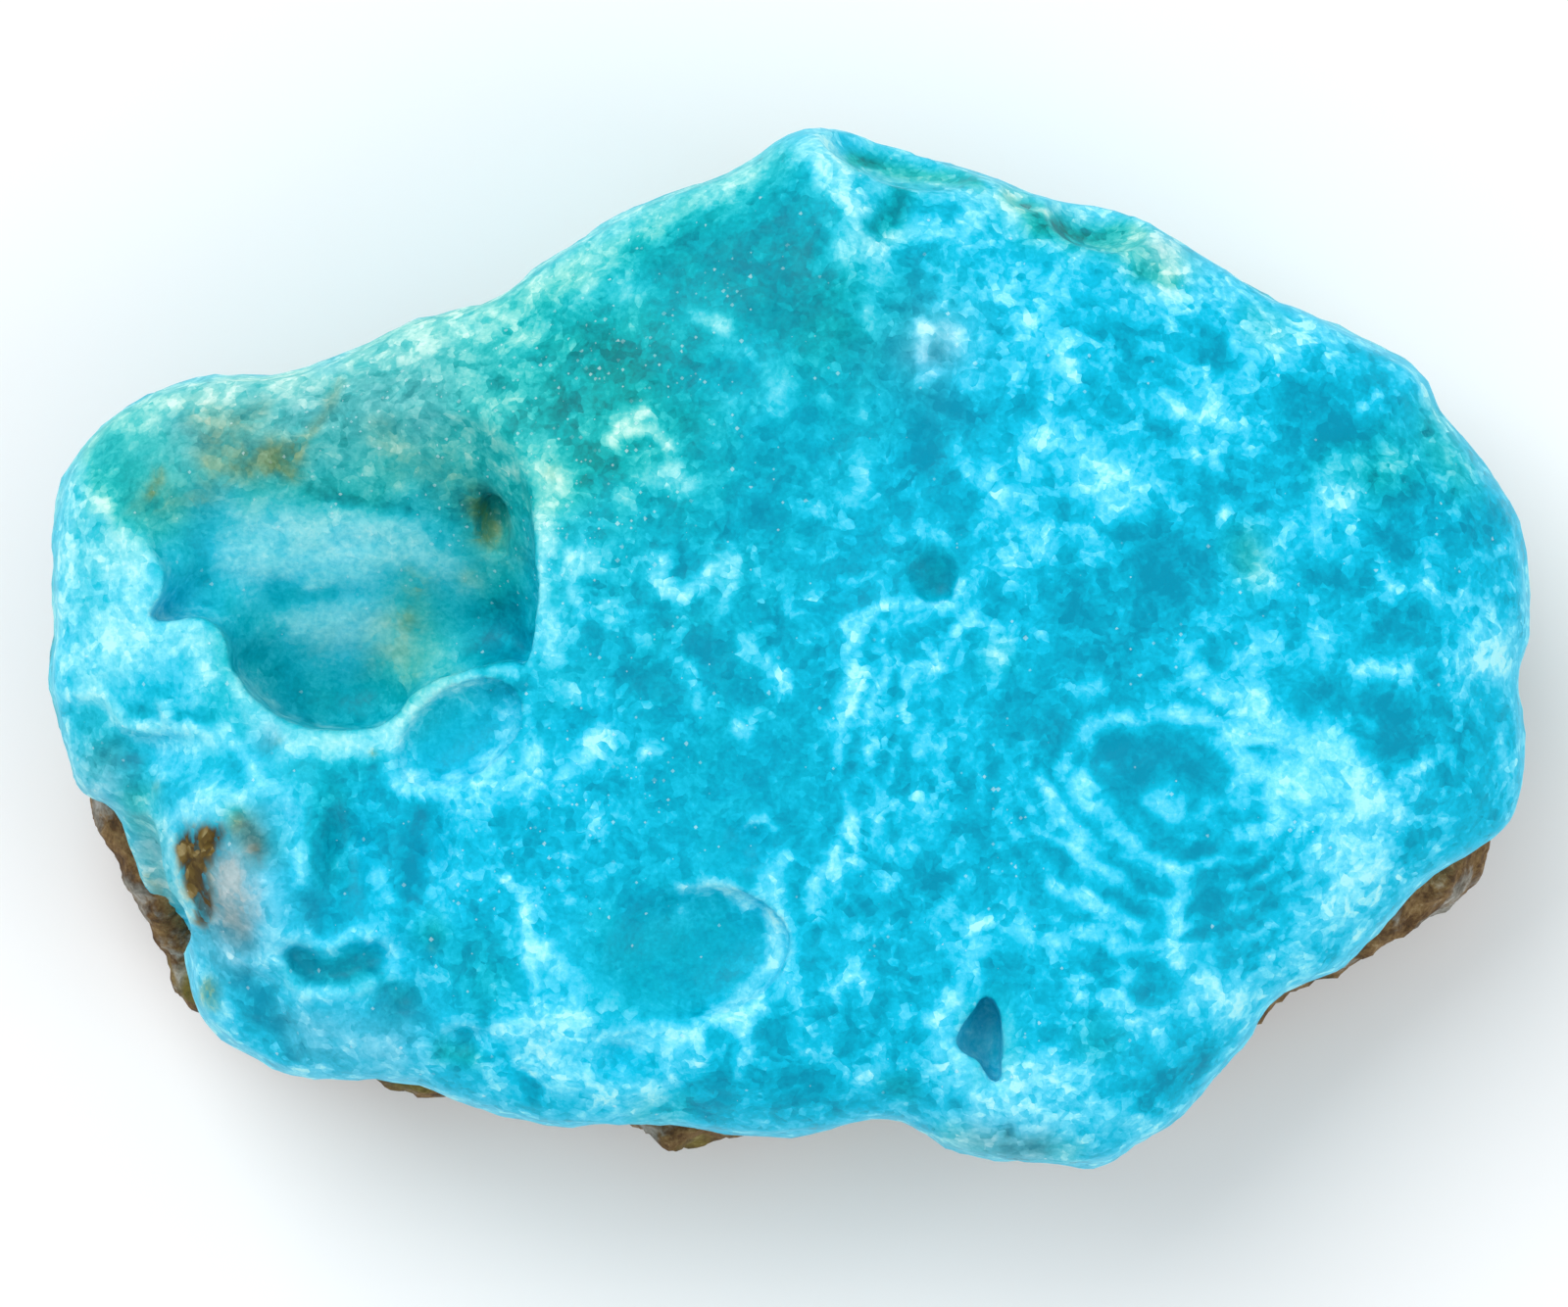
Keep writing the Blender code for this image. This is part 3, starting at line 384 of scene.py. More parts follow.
    (0.62, 0.5, (-10.3, -5.3), (-11, -6.2), (-11.8, -7.4)), (0.52, 0.45, (-13.3, -5.4), (-13.6, -6.6)),
    (0.6, 0.35, (-13.7, -7.7)), (0.6, 0.45, (-2.5, -4.2), (-1.9, -4.6)),
    (0.45, 0.28, (-7.4, -5.6), (-6.8, -5.5)), (0.18, 0.8, (0.3, 2), (1.5, 1.9)),
    (0.62, 0.33, (9.1, 3.2), (8.8, 2.3), (8, 2), (7, 2.3), (6, 2.25), (5, 1.9), (4, 1.3), (3.4, 1.1)),
    (0.55, 0.42, (3.4, 1.1), (3.6, 0), (3.7, -1.1)), (0.3, 0.5, (7.5, 1.7), (6.5, 1.3), (5.5, 1)),
    (0.2, 0.3, (5.1, 1), (5, 0), (5.2, -0.6)),
    (0.5, 0.38, (9.9, 1.7), (8.9, 0.8), (8, -0.4), (7.2, -1.2), (6.2, -1.9)),
    (0.5, 0.42, (3.4, -1.8), (3.4, -2.9)), (0.42, 0.33, (2.7, -2.8), (2.3, -4), (2.6, -5.6)),
    (0.25, 0.5, (6.2, -3.4), (6.6, -2.6), (7.5, -2.7)), (0.32, 0.9, (7, -4.8), (8.2, -6)),
    (0.38, 0.55, (6.6, -8.2), (7.4, -8.4)), (0.25, 0.4, (4.2, -5), (3.9, -6.8)),
    (-0.35, 1, (7.2, 4.4), (7.9, 3.3)), (-0.15, 0.5, (8.1, 2.9)),
    (0.3, 0.45, (6.2, 5.8), (7.5, 6.1), (8.5, 5.6)),
    (0.4, 0.25, (-2.5, -9.6), (-1.9, -9), (-1.1, -9), (-0.6, -9.6)),
    (0.3, 1, (10.5, 4.2), (11.5, 4.5), (13, 5)), (0.28, 0.8, (12.5, 5.6), (15, 5.7), (16.5, 5.4)),
    (0.25, 0.6, (13.1, 1.6), (12.7, 0.2)), (0.32, 0.8, (10.8, 0.6), (11, -1), (10.7, -2)),
    (-0.07, 2, (15, 4), (14.5, 1), (13.5, -2)), (-0.2, 1.4, (18.5, 4.5), (19.5, 3)),
    (0.3, 0.45, (15.4, -2.2), (16.2, -1.9)), (0.2, 0.6, (9.6, -4.2)), (0.22, 0.6, (8.6, -6.4)),
    (0.34, 0.3, (3.4, -2.6), (2.6, -4.6), (2.9, -6.6), (3.4, -8.6), (2.6, -10.4), (1.6, -12.4)),
    (0.28, 0.3, (5.2, -0.6), (4.4, -3), (4.2, -5.4), (4.9, -8), (4.2, -10.2)),
    (-0.12, 0.5, (3.6, -4.4), (3.5, -6.4), (4.1, -8.8)),
    # Lower middle, with its saucer
    (-0.08, 4, (-6, -16.4)), (0.3, 0.4, (-1.2, -12.3), (-0.7, -11.6), (-0.1, -11.2)),
    (0.55, 0.4, (-0.8, -12.9), (-1, -12.1), (-0.3, -11.3)),
    (0.6, 0.4, (-4.2, -12.4), (-3.2, -12.7), (-2, -13.3), (-1.2, -13)),
    (0.35, 0.45, (-5.4, -12.6), (-4.2, -12.2)), (0.3, 0.4, (-5.4, -14)),
    (0.55, 0.28, (-0.9, -14.2), (-0.6, -15.2), (-0.7, -16.2), (-1.2, -17), (-2, -17.9), (-3.2, -18.9),
     (-4.2, -19.5)), (0.3, 0.7, (-0.3, -14.2), (0, -16), (-1, -17.6), (-2.6, -19)),
    (0.55, 0.45, (-1.5, -19), (-2.5, -19.6), (-3.4, -19.6)),
    (0.55, 0.35, (-2.2, -20), (-2.3, -21.4), (-2.4, -22.6)),
    (0.5, 0.35, (3.5, -9), (3, -10.2), (2, -11.2), (1.5, -12.6), (1.3, -14)),
    (0.3, 0.5, (3.2, -11.2), (2.4, -12.6)), (0.4, 0.7, (2.6, -18), (3.6, -17.4)),
    (0.35, 0.8, (0.6, -18), (1, -20), (1.4, -21)), (-0.2, 0.8, (0.2, -19.6)), (-0.22, 0.7, (2, -19.3)),
    (-0.3, 0.5, (4.9, -19.6)), (-0.12, 1, (3.2, -20.8)), (0.35, 0.7, (4.4, -22.6), (5, -22.2)),
    (0.5, 0.4, (-13.7, -13.8), (-13.8, -15), (-13.6, -16)),
    (0.5, 0.28, (-13.4, -16.6), (-13.3, -17.6), (-13.1, -18.6)),
    (0.4, 0.6, (-13, -15.8), (-12.2, -16.6), (-11.4, -17.4)), (0.5, 0.6, (-11.2, -18.6), (-11, -19.6)),
    (0.5, 0.35, (-14.6, -12.3)), (0.5, 0.3, (-11.7, -13.2)), (0.4, 0.25, (-11.7, -11)),
    (0.4, 0.3, (-17.5, -10.7)), (0.45, 0.4, (-15.9, -8.4)), (0.35, 0.4, (-17.6, -12)),
    (0.3, 0.8, (-18.4, -13.2), (-17.8, -14.4)), (0.28, 0.5, (-9.9, -9.4)),
    (0.6, 0.9, (-14.6, -20.2), (-13, -19.9), (-11.4, -20.2)),
    (0.62, 1.1, (-13.4, -22), (-12, -22.2), (-10.8, -23)),
    (0.6, 0.7, (-9, -20.6), (-7.4, -20.6), (-6, -20.8), (-5.2, -21.6)),
    (0.5, 0.8, (-9, -23.4), (-7.4, -23.4), (-6.4, -22.8)),
    (0.7, 0.3, (-7.4, -20.2), (-6, -20.3), (-4.8, -20.4)), (0.4, 0.25, (-4.7, -19.6), (-4.4, -20.6)),
    (-0.3, 0.6, (-8.9, -21.8), (-9.2, -22.6)),
    (-0.45, 0.45, (-14.9, -21.4), (-14.2, -22.6), (-13.4, -23.6)),
    (-0.35, 0.5, (-15.8, -18.6), (-15.9, -19.6)), (-0.2, 1.2, (-3.5, -22.6), (-4.6, -23.6)),
    (-0.12, 1.6, (-0.6, -22.6), (2, -23.4)), (0.3, 0.6, (-18, -19.9), (-16.8, -20.2)),
    (-0.2, 1.2, (-16.4, -16.2)),
    # Left end
    (0.35, 0.8, (-38.9, 5.5), (-38.8, 1), (-38.7, -2)),
    (0.55, 0.5, (-36.4, 7.4), (-35.6, 6), (-34.4, 4.8), (-34.4, 3.2), (-34.7, 2.2)),
    (0.35, 0.8, (-35, 4.6), (-35, 2.6)), (-0.2, 0.9, (-37.4, 3.6), (-37.2, 2)), (-0.2, 0.7, (-36, 6)),
    (0.55, 0.8, (-34.6, 0.8), (-33, 0.7), (-31.4, 0.6)), (0.5, 0.7, (-31, -0.4), (-30.9, -1.4)),
    (0.35, 1, (-36.5, -0.4), (-34.2, -0.4)), (-0.25, 0.7, (-34, -1.4), (-33, -2.4)),
    (-0.2, 0.6, (-35.4, -1.8)), (0.35, 0.5, (-31.8, -1.6), (-31.4, -3)),
    (-0.35, 0.8, (-37.8, -3.4), (-36.8, -3.4)), (-0.35, 0.6, (-34.8, -3.4), (-33.8, -3.4)),
    (-0.25, 0.5, (-32, -3.6), (-31, -3.6)),
    (0.6, 0.3, (-38.2, -2.6), (-36.6, -2.5), (-35.8, -3.2), (-35.3, -4.2), (-34, -4.3), (-32.2, -4.3),
     (-30, -4.6)), (0.5, 0.35, (-30, -4.6), (-28.9, -5.2), (-28.2, -6.2), (-27.8, -7.2)),
    (0.6, 0.35, (-33, -3), (-32.8, -4)), (0.35, 0.9, (-32.6, -5.4), (-31, -5.6)), (0.7, 0.3, (-33, -6.8)),
    (-0.38, 1.2, (-36.6, -5.6), (-35.2, -6)), (-0.2, 0.6, (-30.4, -6)), (-0.22, 0.5, (-29.2, -6.6)),
    (0.15, 1.2, (-37, -7.4)),
    (0.75, 0.6, (-28.9, -2.2), (-27.8, -3.8), (-26.2, -4.9), (-24, -5.1), (-22, -5), (-20.8, -4.6)),
    (0.4, 0.5, (-26, -5.4), (-23.6, -5.5)),
    (0.5, 0.4, (-20.2, -3.9), (-19.4, -2.9), (-18, -2.3), (-16.4, -1.7)),
    (0.55, 0.3, (-15.4, -1.2), (-14.4, -1.2)),
    (0.75, 0.5, (-20.4, -7), (-18.6, -7.4), (-17, -7.2), (-15.8, -6.4)),
    (0.3, 0.7, (-20.6, -5.6), (-20.4, -6.6)), (0.42, 0.8, (-17, -8), (-15.2, -7)),
    (0.35, 0.6, (-15.2, -5.6), (-14.6, -4)), (-0.3, 0.25, (-21.8, -6.2)), (-0.16, 0.4, (-27, -4.9)),
    (-0.12, 1.2, (-23, -6.8)), (0.1, 1.4, (-23.6, -8)),
    # The lump and the lower left corner
    (0.75, 0.45, (-33, -9.4), (-32, -8.9), (-31, -8.3), (-30.2, -7.9), (-29, -7.7)),
    (0.5, 0.8, (-31, -8.6), (-29.8, -8.5)),
    (0.6, 0.32, (-32.7, -10.2), (-32.4, -11.8), (-31.9, -13.2), (-31.4, -14.8)),
    (0.45, 0.6, (-26.8, -7.8), (-25.9, -8.8), (-25.7, -10.4), (-25.4, -12.2)),
    (0.42, 0.7, (-27.2, -12.6), (-27, -14.8), (-27.4, -16.4)), (-0.3, 1.4, (-24, -9.4), (-24, -12)),
    (0.35, 0.6, (-23.4, -11.4), (-22.6, -10.8)), (0.35, 0.7, (-21.6, -12), (-21.3, -13)),
    (-0.45, 0.65, (-19.3, -9), (-19.7, -11), (-19.8, -13)), (-0.45, 0.55, (-24.9, -13.6), (-24.8, -14.4)),
    (0.5, 0.5, (-26, -15.2), (-24.6, -15.9), (-23, -15.3), (-21.4, -15.4), (-20.7, -16.4),
     (-20.9, -17.2)), (0.4, 0.5, (-26.6, -16.9), (-25.8, -18.2), (-23.4, -18.2), (-22, -17.9)),
    (-0.5, 0.62, (-26, -16.5), (-25, -17.3), (-23.6, -17.1), (-22.2, -16.8)),
    (-0.55, 0.62, (-21.2, -18.4), (-20.2, -18.7)),
    (-0.55, 0.7, (-28.8, -17.7), (-27.8, -18.4), (-27.6, -19.4)),
    (-0.38, 0.45, (-26.8, -20.2), (-26.4, -21.6)), (0.35, 0.5, (-29.8, -18.2), (-29.9, -19.2)),
    (0.25, 0.8, (-24.8, -18.4), (-24.6, -19.6)), (-0.45, 0.6, (-18.2, -21.1), (-16.9, -21.4)),
    (0.22, 1, (-23, -21), (-19.6, -21.8)), (0.5, 0.3, (-16.5, -21.6)),
    (-0.25, 0.6, (-18.7, -14.8), (-18.3, -15.4)), (0.15, 1.2, (-29, -12.4), (-29.2, -13.4)),
    (-0.2, 0.9, (-29.2, -15), (-28.8, -15.4)), (0.25, 0.7, (-31, -19.6), (-29.6, -20.8)),
    (0.08, 0.8, (-34.1, -8.5), (-33.9, -11), (-33.2, -13)),
    (-0.5, 0.6, (-28.9, -9), (-28.2, -9.8), (-27.8, -10.4)), (0.25, 0.6, (-29.2, -16.6), (-28.2, -17.2)),
]

# The eye of the swirl at the lower right, which the streaks follow, and where they show
SWIRL_EYE = [(16, -4), (21.6, -3.9), (24, -5.5), (24, -9), (20, -10.5), (17.2, -9), (15.2, -6.5)]
STREAKED = [
    (0.9, 4, (13.5, -7), (18, -11), (25, -11)), (0.7, 3, (24, -5), (28, -8)),
    (0.8, 3.5, (17, -15), (22, -15)), (0.6, 2, (6, -1), (5, -8), (3, -13)),
]

# Turquoise green, from 0 to 1
GREENNESS = [
    (0.95, 5.5, (-19, 12.5), (-14.5, 13)), (0.95, 2.6, (-35, 10.5), (-31, 11), (-26, 11.5)),
    (0.55, 4, (-9, 14), (-7, 10.5)), (0.42, 5.5, (-4, 20), (1, 20)),
    (0.5, 1.6, (-37, 11), (-33, 13.4), (-27, 14.6)),
    (0.5, 1.6, (-22, 15.6), (-14, 18.6), (-7, 22.6), (-1, 25.8)), (0.22, 3, (-37.5, 5), (-36.5, -3)),
    (0.35, 1.4, (10.4, -21.6), (10.4, -19.6)), (0.3, 3, (2.5, 16)), (0.6, 1.6, (-12.4, 8.8)),
    (0.85, 1.6, (-35, 8), (-33.5, 7)), (0.4, 1.3, (-28, 8.2), (-22, 8.6)),
    (0.6, 2, (-15.8, 7), (-15.6, 3.4)), (0.35, 1.8, (-20, 1.6), (-21, -0.6)),
    (0.5, 3, (-28, -1.4), (-24, -3.4), (-19, -1.4)), (0.3, 3.6, (-29, 3), (-21, 2)),
    (0.25, 3, (-8, -16.4), (-4, -16)), (0.1, 7, (-5, 1), (-3, -6)),
    (0.9, 0.55, (3.6, 25.9), (5, 25.7), (6.8, 25.1), (8.6, 24.9), (10, 24.6)),
    (0.9, 0.7, (11.8, 23.7), (13, 23.1)),
    (0.95, 0.9, (13.6, 22.4), (15.4, 21.9), (16.8, 21.7), (18.2, 22)),
    (0.7, 1, (18.2, 21.2), (20.5, 20.6)), (0.9, 0.55, (18.6, 19.9), (20.2, 19.4)),
    (0.35, 0.7, (5.9, 23.8), (5.2, 22.2)), (0.35, 1, (25, 17.1), (25.6, 16.6)),
    (0.55, 1.1, (34.2, 11.6), (35, 10), (35.8, 8.9)), (0.55, 1.1, (24.2, 5.2), (24.4, 4.2)),
    (0.3, 1.3, (31, 8.6), (32.4, 9.4)), (0.35, 1.5, (29, 9.6), (31, 9.8)), (0.3, 1, (7.8, 3.8)),
    (0.3, 1.2, (-24, -8), (-24, -11.5)), (0.35, 1, (-25.6, -17), (-22.4, -17)),
    (0.3, 0.8, (-20.5, -18.6)), (0.55, 0.7, (-18, -21.2), (-16.9, -21.5)), (0.5, 0.7, (-18.6, -15)),
    (0.3, 0.8, (-5.6, -24.3), (-7.6, -24.8)), (0.35, 0.8, (8.5, -26), (12, -26.6), (15, -26.6)),
    (0.3, 1.2, (16.4, -20.6)), (0.3, 0.9, (5.8, -23.2)), (0.35, 1.3, (-36.4, -6)),
    (0.7, 1.2, (-34.6, -8.3), (-34.2, -11), (-33.6, -13)), (0.9, 0.8, (-28.9, -9), (-28, -10.2)),
    (0.3, 1, (11, -0.6)), (0.3, 1.6, (-16, -17)),
]

# Olive and brown stains, from 0 to 1
STAIN = [
    (0.3, 0.9, (-31.6, 12.6), (-30.6, 12.2)), (0.35, 0.8, (-29, 12.2), (-28, 12.6)),
    (0.38, 1.2, (-30.6, 10.9), (-28.6, 10.4), (-27, 10.2)), (0.32, 0.8, (-30.4, 9.4), (-28.6, 9.4)),
    (0.5, 0.7, (-27.2, 10), (-26.4, 9.2)),
    (0.45, 0.38, (-26, 10.4), (-25.2, 11.2), (-24.4, 12.6), (-23.8, 14)),
    (0.5, 0.4, (-33.3, 9.2), (-33.7, 8.4)), (0.3, 1, (-34.4, 7.4), (-31, 8)),
    (0.3, 1.4, (-20.6, 10), (-18.4, 9.6)), (0.25, 1, (-21.6, 11.6)), (0.12, 3, (-15, 11.6)),
    (0.3, 0.6, (-12.3, 9)), (0.35, 1, (-19.8, 3.4), (-20.4, 1.6)), (0.3, 1.4, (-21.8, 0), (-20.4, -0.8)),
    (0.3, 0.8, (-17, 3.6)), (0.45, 0.6, (-16.1, 7.1), (-15.9, 6.1)), (0.3, 1, (-16.6, 7.8), (-16, 5.6)),
    (0.22, 0.9, (24.3, 5.4), (24.2, 4.4)), (0.18, 1, (-14.4, 4.6)), (0.4, 0.3, (-26.9, -4.9)),
    (0.5, 0.25, (-21.8, -5.6)), (0.35, 0.3, (11.7, -25.6)), (0.3, 0.5, (-33.4, -7.4)),
    (0.3, 0.35, (-18.7, -15.9)), (0.6, 0.7, (-30.8, -18.2), (-31, -18.8)),
    (0.55, 1.1, (-31.2, -10.6), (-30.9, -13.6)), (0.5, 0.6, (-28.9, -9.2), (-28, -10.2)),
    (0.5, 0.5, (-34.6, -12.6), (-33.8, -13.6)),
]

# Brown rock grown into the stone, from 0 to 1
ROCKY = [
    (1, 0.52, (-31.7, -10.8), (-31.3, -12.4), (-30.7, -13.6)),
    (0.85, 0.55, (-31.4, -10.1), (-30.1, -9.9)), (0.8, 0.5, (-31.2, -11.4), (-30.9, -13), (-31, -14.4)),
    (0.5, 0.7, (-30.4, -10.8)), (0.4, 0.4, (-27.9, -10.6), (-27.6, -11.2)),
]

# Grey and lavender bloom on the lump, from 0 to 1
BLOOM = [
    (0.75, 1.1, (-29.6, -11.6), (-29.6, -13.6)), (0.45, 1, (-28.6, -12.6), (-28.6, -14.2)),
    (0.3, 1.4, (-29, -15.8)), (0.28, 3, (-31, 12), (-20, 13.6)), (0.5, 0.8, (-28.2, -9.6), (-28, -10.6)),
    (0.35, 1.2, (-34.2, -11), (-33.8, -13)), (0.2, 1.6, (-25, -20.6), (-21, -21)),
    (0.3, 0.6, (-27.2, -4.6)), (0.3, 1.4, (10, -26.2), (13, -26.6)), (0.3, 1, (20, 21)),
    (0.35, 1.2, (7.4, 15.6), (7.9, 16)), (0.25, 1.5, (-36.8, -7)),
]

# How strongly the stone is mottled: 1, less where it is smooth and more where it is cloudy
CALM = [
    (0.7, 5, (-29, 4), (-18, 3)), (0.45, 3.4, (-24, -2)), (0.4, 5, (17, -8), (27, -5)),
    (0.3, 4, (19, -14)), (0.4, 4.5, (-30, -9), (-23, -17)), (0.3, 3, (-35, -2)),
    (0.75, 3, (-8, -16.6), (-4, -16)), (0.4, 3.5, (-3, -6.5)), (0.5, 6, (-4, 20), (0, 14)),
    (0.85, 1.4, (10.4, -20.6)), (0.6, 1.2, (7.6, 3.8)), (0.8, 1.4, (-17.6, -5)), (0.5, 1.4, (-3, -10.8)),
    (0.5, 2.2, (-34, 10)),
]

# Where fine crystals sparkle, shown as painted glints: white specks in the colour, with lower roughness
PAINTED_GLINT_MARKS = [
    (1, 5.5, (-22, 13), (-10, 13)), (0.8, 3, (-12, 4), (-9, 7)), (0.8, 3, (-14, -11), (-9, -8)),
    (0.7, 2, (-4, -1.5)), (0.5, 3, (-26, -20)), (0.5, 3, (-4, 20)), (0.8, 1.2, (11.5, -12.6), (11, -8.6)),
    (0.6, 1.2, (13, -20.3)), (0.6, 1.2, (5, -15.8)), (0.6, 1.2, (26.4, -9.3)), (0.4, 2, (20, -1)),
    (0.7, 1.5, (-15.8, 6.8)), (0.5, 1.6, (-36.4, -5.6)), (0.5, 1, (1.6, -7)),
]

# How finely the meshes are made: the plain slabs, the cutters, the stone and the rock
SLAB_VOXEL = 0.6
CUTTER_VOXEL = 0.35
STONE_VOXEL = 0.24
ROCK_VOXEL = 0.45
# About how many triangles the stone keeps, and how much of the fineness its underside and sides keep
STONE_TRIANGLES = 192000
UNDERSIDE_FINENESS = 0.25
SIDE_FINENESS = 0.4
# How far the stone reaches into the rock, which closes the gap between them
ROCK_BITE = 0.12
# The hollows' cutters: thickness, height above the face, edge radius and how wide their walls wander
CUTTER_THICKNESS = 10.0
CUTTER_RISE = 6.0
CUTTER_EDGE = 0.3
WALL_WANDER = 1.4
# Where hard rims are worn soft, and where the face is lumpy
SOFT_RIMS = [
    (1, 1.7, (-33.5, 8.4), (-30.5, 9.2), (-26, 9.8), (-21, 10), (-17, 9.8), (-14.6, 8.4)),
    (0.2, 1.2, (-26.2, -16.6), (-25, -17.4), (-23.6, -17.2), (-22, -16.7)),
    (0.3, 1.2, (-16.2, 7.4), (-15.9, 5.4)),
    (0.4, 1.1, (-10.4, -16), (-9, -14), (-6.6, -12.9), (-4, -12.7)),
]
HUMMOCKS = [
    (0.8, 4, (-27, -16), (-22, -18)), (0.5, 3, (-12, -20.5)), (0.4, 3, (-34, -5)), (0.4, 2, (14, -25)),
]
# Heights of the fine relief: the face's skin and its grain, the veins, the hummocks and their veins
SKIN_HEIGHT = 0.07
GRAIN_HEIGHT = 0.035
VEIN_HEIGHT = 0.16
HUMMOCK_HEIGHT = 0.2
HUMMOCK_VEIN_HEIGHT = 0.8
# The sides' lumps and roughness, the same again where they are low, and the rock's
SIDE_RELIEF = (0.25, 0.13)
LOW_SIDE_RELIEF = (0.2, 0.13)
ROCK_RELIEF = (0.28, 0.38)
# Marks narrower than this are veins, which stand out and are broken up. How strongly both kinds show
VEIN_WIDTH = 1.3
NARROW_SHARE = 0.96
BROAD_SHARE = 0.82
# How far apart the swirl's streaks are, and how strongly they show
STREAK_SPACING = 1.35
STREAK_SHARE = 0.13
# The pale rim of the face, partly its own pale colour and partly painted light on its shaded edge:
# strengths and widths
PALE_RIM_AND_PAINTED_LIGHT = [(0.26, 1.3), (0.14, 0.5)]
# Paleness is pressed together softly about this middle, and gets no further from it than this
MIDDLE_PALENESS = 0.45
PALENESS_REACH = 0.43
# The sides' paleness, the clouds and bands in it, how much paler they are high up, and the bands' spacing
SIDE_PALENESS = 0.44
SIDE_CLOUDS = 0.2
SIDE_BANDS = 0.09
HIGH_PALENESS = 0.14
BAND_SPACING = 3.6


def bumps(points, size, seed):
    """Smooth noise between -1 and 1 at each point, for lumps about as wide as size."""
    shift = Vector((seed * 17.3, seed * 9.1, seed * 5.7))
    return np.array([noise.noise(Vector(point) / size + shift) for point in points])


def lumps(points, kinds, seed):
    """The height of lumps of several kinds, each given by its width and height."""
    return sum(height * bumps(points, size, seed + i) for i, (size, height) in enumerate(kinds))


def hump(points, centre, radii):
    """A bell of height 1 above its centre, seen from above."""
    x = (points[:, 0] - centre[0]) / radii[0]
    y = (points[:, 1] - centre[1]) / radii[1]
    return np.exp(-(x * x + y * y))


def edge_distance(points, outline):
    """Distance from the outline, seen from above."""
    start = np.array(outline)
    step = np.roll(start, -1, axis=0) - start
    length = (step * step).sum(axis=1)
    result = np.empty(len(points))
    for i in range(0, len(points), 20000):
        offset = points[i:i + 20000, None, :2] - start
        along = np.clip((offset * step).sum(axis=2) / length, 0.0, 1.0)
        result[i:i + 20000] = np.linalg.norm(offset - along[:, :, None] * step, axis=2).min(axis=1)
    return result


def ramp(values, start, end):
    """Rises smoothly from 0 at start to 1 at end."""
    t = np.clip((values - start) / (end - start), 0.0, 1.0)
    return t * t * (3.0 - 2.0 * t)


def fractal(points, size, seed, octaves=5):
    """Cloudy noise, roughly between -1 and 1, whose largest lumps are about as wide as size."""
    shift = Vector((seed * 13.1, seed * 7.7, seed * 19.3))
    return np.array([noise.fractal(Vector(point) / size + shift, 0.9, 2.0, octaves) for point in points])


def wander(points, size, amount, seed):
    """The points, each moved sideways by smooth noise, which gives what is drawn there a ragged edge."""
    moves = [bumps(points, size, seed + i) for i in range(2)] + [np.zeros(len(points))]
    return points + amount * np.column_stack(moves)


def stroke(points, path, width):
    """1 along the path, seen from above, falling off softly over the width."""
    path = [np.array(place, dtype=float) for place in path]
    reach = 4.5 * width
    flat = points[:, :2]
    near = np.all((flat > np.min(path, axis=0) - reach) & (flat < np.max(path, axis=0) + reach), axis=1)
    nearest = np.full(near.sum(), np.inf)
    for start, end in zip(path, path[1:] or path):
        step = end - start
        offset = flat[near] - start
        along = np.clip((offset @ step) / max(step @ step, 1e-9), 0.0, 1.0)
        nearest = np.minimum(nearest, ((offset - along[:, None] * step) ** 2).sum(axis=1))
    result = np.zeros(len(points))
    nearest /= width * width
    result[near] = 0.82 * np.exp(-nearest) + 0.18 * np.exp(-nearest / 5.0)
    return result


def drawn(points, marks):
    """The sum of the marks at the points, each with its strength."""
    total = np.zeros(len(points))
    for strength, width, *path in marks:
        total += strength * stroke(points, path, width)
    return total


def ragged(points):
    """The points as the markings are drawn on them, with edges that are ragged on two scales."""
    return wander(wander(points, 1.6, 0.3, 3), 0.6, 0.13, 7)


def veins_and_areas():
    """The paleness marks, narrow ones first and broad ones second."""
    return ([mark for mark in PALENESS if mark[1] < VEIN_WIDTH],
            [mark for mark in PALENESS if mark[1] >= VEIN_WIDTH])


def streaks(points):
    """Wavy pale and deep lines that run round the eye of the swirl, between about -1 and 1."""
    away = edge_distance(points, SWIRL_EYE) + 0.9 * bumps(points, 2.4, 71) + 0.3 * bumps(points, 0.9, 72)
    broken = np.clip(1.0 + 1.2 * fractal(points, 1.8, 73, 3), 0.1, 1.7)
    waves = np.sin(2 * math.pi * away / STREAK_SPACING)
    return np.clip(drawn(points, STREAKED), 0.0, 1.0) * broken * waves


def mixed(share, first, second):
    """The first values where the share is 0, the second where it is 1."""
    return (1.0 - share) * first + share * second


def face_level(points):
    """How far the face lies above or below its nominal height: its planes, crown, lump and dents."""
    x, y = points[:, 0], points[:, 1]
    level = -CROWN[0] * (x / HALF_SIZE[0]) ** 2 - CROWN[1] * (y / HALF_SIZE[1]) ** 2
    level -= LEFT_END_DROP * ramp(-x, *LEFT_END)
    level -= WORN_DROP * np.clip(1.0 - edge_distance(points, STONE_OUTLINE) / WORN_EDGE, 0.0, 1.0) ** 2
    level -= UPPER_LEFT_DROP * ramp(-x, *UPPER_LEFT[0]) * ramp(y, *UPPER_LEFT[1])
    level -= UPPER_RIGHT_DROP * ramp(x + y, *UPPER_RIGHT)
    for centre, radii, height in SWELLINGS:
        level += height * hump(points, centre, radii)
    return level + lumps(points * (1, 1, 0), FACE_LUMPS, 1)


def back_level(points):
    """How far the hidden back lies above its nominal height, high where the host rock fills it in."""
    x, y = points[:, 0], points[:, 1]
    filled = ramp(-y, -FILLING_END[1], -FILLING_END[0])
    level = (BACK_LIFT + BACK_TIP * x) * filled - BACK_LIP * ramp(y, *LIP_START)
    return level + lumps(points * (1, 1, 0), BACK_LUMPS, 3)


